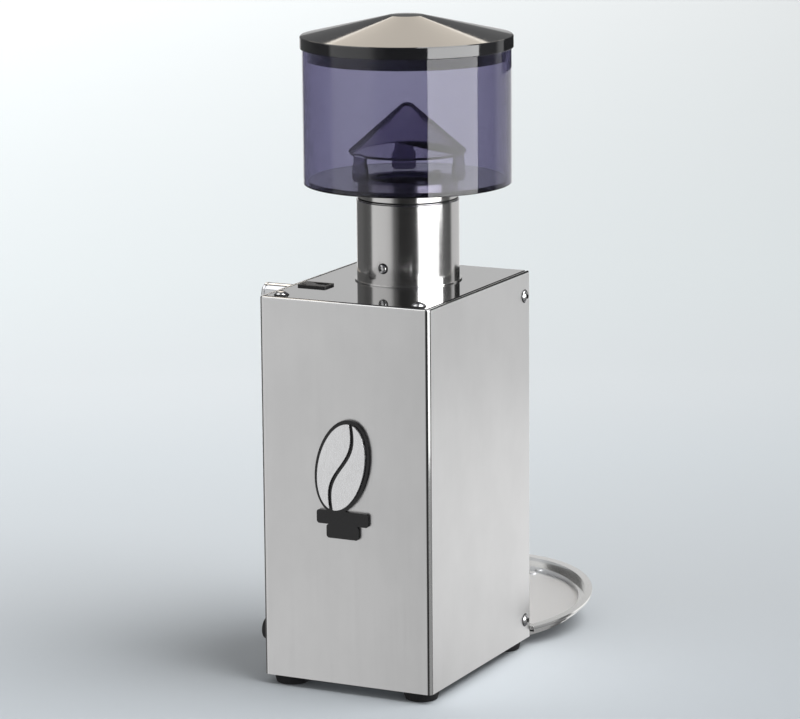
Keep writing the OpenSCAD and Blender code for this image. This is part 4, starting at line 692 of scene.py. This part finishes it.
class GRINDER_OT_stage(bpy.types.Operator):
    """Make the floor, the lights, the reflecting cards and the camera"""

    bl_idname = "grinder.stage"
    bl_label = "Stage"

    HEADING = math.radians(206.386)
    TILT = math.radians(11.685)
    ROLL = math.radians(-0.488)
    CAMERA_MM = (-1049.702, 2111.618, 692.696)
    SUN_SOURCE = (-0.95, -0.12, 1.6)
    SUN_SPREAD = math.radians(46)
    # Painted light: the floor's colour at each depth behind the object, in metres, growing brighter with
    # distance, and the scale on its brightness to either side
    FLOOR_SHADES = ((-0.6, "#BCC1C7"), (-0.1, "#C0C6CB"), (0.16, "#C6CBCF"), (0.59, "#D3D9DD"),
                    (0.9, "#DCE1E4"), (1.38, "#E1E7E9"), (4.0, "#F3F7F8"))
    FLOOR_SIDES = (-0.8, 0.8, 1.18, 0.82)
    SKY_SHADES = ((0.0, "#D2D4D6"), (0.9, "#F0F2F3"))
    # Brightness of the light tent at each heading from the camera's side, to the right of it positive
    TENT = ((-180, 0.61), (-167, 0.58), (-163, 0.14), (-126, 0.14), (-108, 0.1), (-91, 0.12), (-86, 0.78),
            (-70, 0.73), (-52, 0.7), (-40, 0.6), (-31, 0.16), (-18, 0.03), (22, 0.03), (24.5, 1.8),
            (70, 1.8), (74.5, 0.15), (108, 0.1), (115, 0.68), (140, 0.68), (167, 0.62), (180, 0.61))
    TENT_PEAK = 1.8
    # Each card's two headings, its height span, its distance, colour and strength
    CARDS = (
        ("card_dark_behind", 150, 210, 0.51, 0.815, 0.93, "#858585", 0.9),
        ("card_rim_behind", 150, 210, 0.815, 0.845, 0.93, "#F6EEE2", 3.2),
        ("card_warm_behind", 150, 210, 0.845, 2.0, 0.93, "#F0E6D8", 2.4),
        ("card_low_behind", 158, 202, -0.2, 0.37, 0.92, "#F4F4F4", 1.0),
        ("card_low_side", 108, 150, -0.27, -0.02, 0.92, "#FFFFFF", 1.0),
        ("card_low_front", 12, 90, -0.6, -0.04, 0.93, "#9A9A9A", 1.0),
        ("card_hopper_band", 21.3, 80.5, 0.17, 0.5, 0.92, "#FFFFFF", 5.4),
        ("card_flag_right", 124, 166, 0.28, 0.8, 0.91, "#303030", 1.0),
        ("card_high_left", -125, -55, 1.0, 2.6, 0.9, "#FFFFFF", 1.5),
        ("light_tent", -180, 180, -0.6, 0.96, 0.95, "#FFFFFF", TENT_PEAK, TENT),
    )

    def floor(self):
        """Lay the floor, which keeps the shadow and isn't mirrored in the steel."""
        work = bmesh.new()
        bmesh.ops.create_circle(work, cap_ends=True, segments=96, radius=12.0)
        made = linked("floor", mesh_of(work, "floor"))
        # Matt painted studio floor: pale, with painted light that makes it brighter with distance and to the
        # left
        paint, tree, shader = surface(
            "matt_studio_floor", "#D8DCDF", 0.95, 0.0, {"Specular IOR Level": 0.1})
        place = own_place(tree)
        ahead = (-math.sin(self.HEADING), math.cos(self.HEADING), 0)
        aside = (math.cos(self.HEADING), math.sin(self.HEADING), 0)
        depth, side = (node(tree, "ShaderNodeVectorMath", {0: place, 1: way},
                            operation="DOT_PRODUCT").outputs["Value"] for way in (ahead, aside))
        near, far = self.FLOOR_SHADES[0][0], self.FLOOR_SHADES[-1][0]
        stops = [((reach - near) / (far - near), linear(shade)) for reach, shade in self.FLOOR_SHADES]
        colour = graded(tree, remapped(tree, depth, near, far), stops)
        tone = node(tree, "ShaderNodeVectorMath", {
            0: colour, "Scale": remapped(tree, side, *self.FLOOR_SIDES)}, operation="SCALE")
        tree.links.new(tone.outputs["Vector"], shader.inputs["Base Color"])
        made.data.materials.append(paint)
        made.visible_glossy = False

    def card(self, name, first, last, low, high, distance, colour, strength, tones=None):
        """Hang a curved card that only reflections see."""
        work = bmesh.new()
        steps = max(2, int(abs(last - first) / 4))
        rims = []
        for k in range(steps + 1):
            turn = self.HEADING + math.radians(first + (last - first) * k / steps)
            spot = Vector((math.sin(turn), -math.cos(turn), 0)) * distance
            rims.append([work.verts.new(spot + Vector((0, AXIS_Y / 1000, z))) for z in (low, high)])
        for left, right in zip(rims, rims[1:]):
            work.faces.new((left[0], right[0], right[1], left[1]))
        made = linked(name, mesh_of(work, name))
        paint = bpy.data.materials.new(name)
        paint.use_nodes = True
        tree = paint.node_tree
        tree.nodes.clear()
        glow = node(tree, "ShaderNodeEmission", {"Color": linear(colour), "Strength": strength})
        if tones:
            turned = node(tree, "ShaderNodeMapping", {
                "Vector": own_place(tree), "Rotation": (0, 0, math.pi / 2 - self.HEADING)})
            round_it = node(tree, "ShaderNodeTexGradient", {"Vector": turned.outputs["Vector"]},
                            gradient_type="RADIAL")
            stops = [((heading + 180) / 360, [value / self.TENT_PEAK] * 3) for heading, value in tones]
            tree.links.new(graded(tree, round_it.outputs["Fac"], stops), glow.inputs["Color"])
        node(tree, "ShaderNodeOutputMaterial", {"Surface": glow.outputs["Emission"]})
        made.data.materials.append(paint)
        for ray in ("camera", "diffuse", "transmission", "shadow", "volume_scatter"):
            setattr(made, f"visible_{ray}", False)

    def sky(self, strength):
        """Light everything softly from all round. Mirrors see a plain ceiling in its place."""
        world = bpy.data.worlds.new("studio")
        world.use_nodes = True
        bpy.context.scene.world = world
        tree = world.node_tree
        tree.nodes.clear()
        way = node(tree, "ShaderNodeTexCoord").outputs["Generated"]
        up = node(tree, "ShaderNodeSeparateXYZ", {"Vector": way}).outputs["Z"]
        ramp = graded(tree, up, [(position, linear(shade)) for position, shade in self.SKY_SHADES])
        seen, light, ceiling = (
            node(tree, "ShaderNodeBackground", {"Color": colour, "Strength": power}).outputs["Background"]
            for colour, power in ((ramp, 1.0), (linear("#FFFFFF"), strength), (linear("#76777A"), 1.0)))
        rays = node(tree, "ShaderNodeLightPath").outputs
        picked = sum_of(tree, "MAXIMUM", rays["Is Camera Ray"], rays["Is Transmission Ray"])
        both = node(tree, "ShaderNodeMixShader", {0: picked, 1: light, 2: seen}).outputs["Shader"]
        mirrored = node(tree, "ShaderNodeMixShader", {0: rays["Is Glossy Ray"], 1: both, 2: ceiling})
        node(tree, "ShaderNodeOutputWorld", {"Surface": mirrored.outputs["Shader"]})

    def camera(self, lens):
        """Look at the object from the photograph's place, turned and rolled as the photograph is."""
        made = linked("camera", bpy.data.cameras.new("camera"))
        back = Vector((math.sin(self.HEADING) * math.cos(self.TILT),
                       -math.cos(self.HEADING) * math.cos(self.TILT), math.sin(self.TILT)))
        level = Vector((math.cos(self.HEADING), math.sin(self.HEADING), 0))
        above = back.cross(level)
        right = level * math.cos(self.ROLL) + above * math.sin(self.ROLL)
        up = above * math.cos(self.ROLL) - level * math.sin(self.ROLL)
        turn = made.matrix_world.to_3x3()
        for column, axis in enumerate((right, up, back)):
            turn.col[column] = axis
        made.matrix_world = turn.to_4x4()
        made.location = metres(self.CAMERA_MM)
        made.data.lens = lens
        made.data.sensor_width = 36.0
        made.data.clip_end = 50.0
        bpy.context.scene.camera = made

    def execute(self, context):
        settings = context.scene.grinder_stage
        context.scene.view_settings.view_transform = "Standard"
        self.floor()
        for row in self.CARDS:
            self.card(*row)
        self.sky(settings.sky)
        sun = linked("key", bpy.data.lights.new("key", "SUN"))
        sun.data.energy = settings.key
        sun.data.angle = self.SUN_SPREAD
        sun.rotation_euler = Vector(self.SUN_SOURCE).to_track_quat("Z", "Y").to_euler()
        self.camera(settings.lens)
        return {"FINISHED"}


class GRINDER_OT_case(bpy.types.Operator):
    """Dress the folded case, its front panel and the polished top plate"""

    bl_idname = "grinder.case"
    bl_label = "Case"

    def execute(self, context):
        square_on, upward = 0.998, 0.8
        wrap = cad_copy("folded_case", "casing_wrap", "satin_brushed_stainless")
        accent(wrap, "burnished_bend", lambda face: max(abs(part) for part in face.normal) < square_on)
        place_piece(wrap, "case", "brushed_stainless", "casing_wrap")
        cad_piece("front_panel_sheet", "front_panel", "satin_brushed_stainless", "case",
                  "brushed_stainless", 0.2)
        plate = cad_copy("polished_top", "top_plate", "mirror_polished_stainless", 0.3, 3)
        # Painted shade: the plate's edge faces get the dark steel, a shadow line along the gap round the
        # plate.
        accent(plate, "dull_cut_steel", lambda face: abs(face.normal.z) < upward)
        place_piece(plate, "case", "polished_stainless", "top_plate")
        refinish(("base_plate", "plate_brackets"), "zinc_plated_steel")
        return {"FINISHED"}


class GRINDER_OT_neck(bpy.types.Operator):
    """Turn the neck and the hopper's collar"""

    bl_idname = "grinder.neck"
    bl_label = "Neck and collar"

    def execute(self, context):
        neck = lathe("turned_neck", [
            (31.9, 255.52), (34.9, 255.52, 0.2), (34.9, 256.5, 0.3), (33.4, 256.5, 0.1), (33.4, 308.28, 0.35),
            (31.9, 308.28, 0.35)], "turned_stainless")
        place_piece(neck, "case", "brushed_stainless", "neck_tube")
        groove_in, groove_low, groove_high = 31.7, 308.88, 309.88
        collar = lathe("turned_collar", [
            (24.0, 318.88, 0.3), (32.5, 318.88, 0.25), (32.5, groove_high, 0.1), (groove_in, groove_high),
            (groove_in, groove_low), (32.5, groove_low, 0.1), (32.5, 308.58, 0.1), (32.2, 308.32, 0.1),
            (31.8, 308.32), (31.8, 262.3, 0.5), (28.6, 262.3, 0.5), (28.6, 308.3), (24.0, 311.5, 0.3)],
            "turned_stainless")
        axis = metres((0, AXIS_Y))
        # Painted shade: the faces of the collar's groove get the dark steel, a shadow line round it.
        accent(collar, "dull_cut_steel", lambda face: (
            groove_low - 0.01 < face.center.z * 1000 < groove_high + 0.02
            and (face.center.xy - axis).length * 1000 > groove_in - 0.5))
        place_piece(collar, "hopper", "brushed_stainless", "hopper_collar")
        refinish(("bean_funnel",), "moulded_black_plastic")
        return {"FINISHED"}


class GRINDER_OT_hopper(bpy.types.Operator):
    """Make the clear hopper and the dark bean guard in it"""

    bl_idname = "grinder.hopper"
    bl_label = "Hopper and guard"

    def execute(self, context):
        sizes = context.scene.grinder_hopper
        outer, wall = sizes.radius * 1000, sizes.wall * 1000
        throat, seat_gap = 24.0, 0.05
        low, high = 318.9, 411.95
        tube = lathe("clear_tube", [
            (outer - wall, low, 0.3), (outer, low, 0.5), (outer, high, 0.5), (outer - wall, high, 0.5)],
            "smoked_acrylic")
        place_piece(tube, "hopper", "smoked_clear", "hopper_tube")
        inner = outer - wall - seat_gap
        floor = lathe("clear_floor", [
            (throat, low, 0.4), (inner, low, 0.3), (inner, low + wall, 0.3), (throat, low + wall, 0.4)],
            "pale_acrylic")
        place_piece(floor, "hopper", "smoked_clear", "hopper_floor")
        cad_piece("cone_guard", "bean_guard", "dark_acrylic", "hopper", "smoked_dark", 0.3, lift_mm=seat_gap)
        return {"FINISHED"}


class GRINDER_OT_lid(bpy.types.Operator):
    """Turn the cone lid with its rim and inner lip"""

    bl_idname = "grinder.lid"
    bl_label = "Lid"

    def execute(self, context):
        lid = lathe("cone_lid", [
            (0, 427.7), (11.5, 427.2, 1.5), (68.3, 414.3, 0.4), (68.8, 413.8, 0.4), (68.8, 406.5, 0.4),
            (67.7, 406.5, 0.3), (67.7, 412.0), (64.1, 412.0), (64.1, 399.0, 0.4), (62.6, 399.0, 0.4),
            (62.6, 412.0, 0.4), (11.5, 425.7), (0, 425.7)], "polished_lid", degrees=50)
        place_piece(lid, "lid", "gloss_black_plastic", "hopper_lid")
        return {"FINISHED"}


class GRINDER_OT_switch(bpy.types.Operator):
    """Dress the rocker switch and its bezel"""

    bl_idname = "grinder.switch"
    bl_label = "Rocker switch"

    def execute(self, context):
        cad_piece("switch_bezel", "switch_housing", "moulded_black_plastic", "case",
                  "gloss_black_plastic", 0.25)
        cad_piece("switch_paddle", "switch_rocker", "gloss_black_plastic", "rocker",
                  "gloss_black_plastic", 0.4, 3)
        return {"FINISHED"}


class GRINDER_OT_adjuster(bpy.types.Operator):
    """Turn the adjusting knob and finish the worm drive behind it"""

    bl_idname = "grinder.adjuster"
    bl_label = "Adjuster"

    def execute(self, context):
        knob = lathe("plated_knob", [
            (2.53, 62.0, 0.2), (7.0, 62.0, 0.4), (7.0, 81.6, 0.15), (6.5, 81.6, 0.1), (6.5, 82.8, 0.1),
            (7.0, 82.8, 0.15), (7.0, 84.3, 0.3), (6.1, 85.2, 0.3), (0, 85.2), (0, 73.6), (2.53, 73.6)],
            "chrome_plate", centre_mm=(0, 20.0, 246.2), along_x=True, sides=128)
        place_piece(knob, "adjuster_worm", "polished_stainless", "adjusting_knob")
        refinish(("worm", "worm_bushes", "adjusting_ring"), "machined_brass")
        refinish(("worm_shaft",), "ground_tool_steel")
        refinish(("worm_bracket", "chamber_bolts"), "zinc_plated_steel")
        refinish(("ring_retainer", "chamber_cap"), "die_cast_aluminium")
        # The spring is pressed together between the chamber's cap and the moving carrier
        spring = cad_copy("pressure_spring", "carrier_spring", "ground_tool_steel")
        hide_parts("carrier_spring")
        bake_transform(spring)
        return {"FINISHED"}


class GRINDER_OT_feet(bpy.types.Operator):
    """Stand the case on four rubber feet"""

    bl_idname = "grinder.feet"
    bl_label = "Rubber feet"

    def execute(self, context):
        sizes = context.scene.grinder_fasteners
        rows = [((x, y, 0), (0, 0, 1)) for x in (-46.5, 46.5) for y in (-62.5, 62.5)]
        feet = from_tree("moulded_feet", foot_tree(), rows, "moulded_rubber",
                         height=sizes.foot_height, top_radius=sizes.foot_radius)
        softened(feet, 0.5, 3)
        place_piece(feet, "case", "black_rubber", "rubber_feet")
        refinish(("foot_screws",), "zinc_plated_steel")
        return {"FINISHED"}


class GRINDER_OT_screws(bpy.types.Operator):
    """Set the screws that hold the case, the neck, the front, the hopper and the burrs"""

    bl_idname = "grinder.screws"
    bl_label = "Screws"

    SIZES = ("head_radius", "head_height", "shank_radius", "shank_length")

    def execute(self, context):
        sizes = context.scene.grinder_fasteners
        dome, slotted = dome_screw_tree(), slot_screw_tree()
        walls = [((side * 60, -68, z), (side, 0, 0)) for side in (-1, 1) for z in (19.7, 239.6)]
        plate = [((x, 66.5, 255.5), (0, 0, 1)) for x in (-48.5, 48.5)]
        turn, flat_on_neck, height = math.radians(87), 33.542, 267.25
        out = Vector((math.cos(turn), math.sin(turn), 0))
        neck = [(tuple(out * flat_on_neck + Vector((0, AXIS_Y, height))), tuple(out))]
        # Name, CAD node, seats, head radius and height, shank radius and length, the way that the screws
        # stand, and how little of it a face of the rim or the socket may have
        for name, source, rows, *given, way, share in (
            ("wall_screws", "side_screws", walls, 0.0045, 0.0024, 0.002, 0.007, Vector((1, 0, 0)), 0.66),
            ("plate_screws", "top_screws", plate, 0.005, 0.0028, 0.002, 0.008, Vector((0, 0, 1)), 0.66),
            ("neck_clamp_screw", "neck_screw", neck, 0.0035, 0.0022, 0.0015, 0.0015, out, 0.7),
        ):
            made = from_tree(name, dome, rows, "chrome_screw", **dict(zip(self.SIZES, given)),
                             socket_radius=sizes.socket_radius, socket_depth=sizes.socket_depth)
            # Painted shade: each screw's rim and socket walls get the dark steel, a dark outline standing in
            # for their shadow.
            accent(made, "dull_cut_steel", lambda face: abs(face.normal.dot(way)) < share)
            place_piece(made, "case", "polished_stainless", source)
        front = [((x, -78.4, 105.0), (0, -1, 0)) for x in (-29, 29)]
        front += [((x, -78.4, 166.5), (0, -1, 0)) for x in (-20.9, 20.9)]
        hopper = around_axis(28, 3, 133, 321.95)
        upper, lower = around_axis(19.5, 3, 0, 185.5, (0, 0, -1)), around_axis(19.5, 3, 0, 177.8)
        # Name, CAD node, body, slot, finish, seats, and the same sizes as above
        for name, source, body, slot, finish, rows, *given in (
            ("panel_screws", "front_screws", "case", "polished_stainless", "chrome_screw", front,
             0.0038, 0.0022, 0.002, 0.006),
            ("hopper_screws", "floor_screws", "hopper", "polished_stainless", "chrome_screw", hopper,
             0.0028, 0.0016, 0.0015, 0.0083),
            ("upper_plate_screws", "burr_screws_upper", "burr_holder", "plated_steel", "zinc_plated_steel",
             upper, 0.0028, 0.0025, 0.0015, 0.0095),
            ("lower_plate_screws", "burr_screws_lower", "spindle", "plated_steel", "zinc_plated_steel",
             lower, 0.0028, 0.0025, 0.0015, 0.0095),
        ):
            made = from_tree(name, slotted, rows, finish, **dict(zip(self.SIZES, given)))
            place_piece(made, body, slot, source)
        return {"FINISHED"}


class GRINDER_OT_tray(bpy.types.Operator):
    """Dress the round tray"""

    bl_idname = "grinder.tray"
    bl_label = "Tray"

    def execute(self, context):
        tray = cad_copy("spun_tray", "tray", "spun_stainless", 0.45, 3)
        corner, depth = metres((-76, 13)), -0.0069
        level = Vector((math.sin(TRAY_TILT), math.cos(TRAY_TILT)))
        accent(tray, "blasted_stainless", lambda face: (
            face.normal.z > 0.3 and (face.center.yz - corner).dot(level) < depth))
        place_piece(tray, "drip_tray", "brushed_stainless", "tray")
        return {"FINISHED"}


class GRINDER_OT_front(bpy.types.Operator):
    """Dress the spout, the fork for the filter holder, the dose button and the cord's gland"""

    bl_idname = "grinder.front"
    bl_label = "Spout, fork and button"

    def execute(self, context):
        cad_piece("grounds_spout", "spout", "moulded_black_plastic", "case", "black_plastic", 1.0, 3)
        cad_piece("holder_fork", "filter_fork", "satin_brushed_stainless", "case", "brushed_stainless", 0.35)
        cad_piece("push_button", "dose_button", "gloss_black_plastic", "button",
                  "gloss_black_plastic", 0.4, 3)
        cad_piece("cable_gland", "cord_gland", "moulded_black_plastic", "case", "black_plastic", 0.4)
        refinish(("button_switch",), "moulded_black_plastic")
        return {"FINISHED"}


class GRINDER_OT_badge(bpy.types.Operator):
    """Dress the plain badge on the back wall"""

    bl_idname = "grinder.badge"
    bl_label = "Badge"

    def execute(self, context):
        cad_piece("enamelled_badge", "badge_plate", "badge_enamel", "case", "gloss_black_plastic", 0.4, 3)
        cad_piece("chromed_bean", "badge_bean", "badge_chrome", "case", "polished_stainless", 0.7, 4)
        return {"FINISHED"}


class GRINDER_OT_inside(bpy.types.Operator):
    """Finish the motor, the burrs, the chamber and the electrics"""

    bl_idname = "grinder.inside"
    bl_label = "Inside"

    def execute(self, context):
        rows = [seat for height in (40.5, 130.5) for seat in around_axis(9, 8, 0, height)]
        balls = from_tree("rolling_balls", ball_tree(), rows, "ground_tool_steel", radius=0.0019)
        place_piece(balls, "case", "tool_steel", "bearing_balls")
        for finish, *names in (
            ("ground_tool_steel", "upper_burr", "lower_burr", "motor_shaft", "bearing_outer_rings",
             "bearing_inner_rings"),
            ("die_cast_aluminium", "upper_carrier", "lower_carrier", "chamber_body", "motor_shields"),
            ("zinc_plated_steel", "shaft_bolt", "tie_bolts"),
            ("stacked_laminations", "rotor_core", "stator_core"),
            ("varnished_copper_wire", "stator_windings"),
            ("moulded_rubber", "motor_mounts"),
            ("moulded_black_plastic", "motor_fan"),
            ("film_capacitor_case", "run_capacitor"),
            ("glass_epoxy_board", "relay_board"),
        ):
            refinish(names, finish)
        return {"FINISHED"}


STEPS = (GRINDER_OT_stage, GRINDER_OT_case, GRINDER_OT_neck, GRINDER_OT_hopper, GRINDER_OT_lid,
         GRINDER_OT_switch, GRINDER_OT_adjuster, GRINDER_OT_feet, GRINDER_OT_screws, GRINDER_OT_tray,
         GRINDER_OT_front, GRINDER_OT_badge, GRINDER_OT_inside)
SETTINGS = {"grinder_steel": GRINDER_PG_steel, "grinder_hopper": GRINDER_PG_hopper,
            "grinder_fasteners": GRINDER_PG_fasteners, "grinder_stage": GRINDER_PG_stage}


class GRINDER_PT_build(bpy.types.Panel):
    """Lists the settings and the steps"""

    bl_idname = "GRINDER_PT_build"
    bl_label = "Coffee Grinder"
    bl_space_type = "VIEW_3D"
    bl_region_type = "UI"
    bl_category = "Grinder"

    def draw(self, context):
        for name, group in SETTINGS.items():
            box = self.layout.box()
            for prop in group.__annotations__:
                box.prop(getattr(context.scene, name), prop)
        for step in STEPS:
            self.layout.operator(step.bl_idname)


CLASSES = (*SETTINGS.values(), *STEPS, GRINDER_PT_build)


def register():
    for item in CLASSES:
        bpy.utils.register_class(item)
    for name, group in SETTINGS.items():
        setattr(bpy.types.Scene, name, PointerProperty(type=group))


def unregister():
    for name in SETTINGS:
        delattr(bpy.types.Scene, name)
    for item in reversed(CLASSES):
        bpy.utils.unregister_class(item)


def main():
    register()
    bpy.ops.grinder.stage()
    bpy.ops.grinder.case()
    bpy.ops.grinder.neck()
    bpy.ops.grinder.hopper()
    bpy.ops.grinder.lid()
    bpy.ops.grinder.switch()
    bpy.ops.grinder.adjuster()
    bpy.ops.grinder.feet()
    bpy.ops.grinder.screws()
    bpy.ops.grinder.tray()
    bpy.ops.grinder.front()
    bpy.ops.grinder.badge()
    bpy.ops.grinder.inside()


if __name__ == "__main__":
    main()
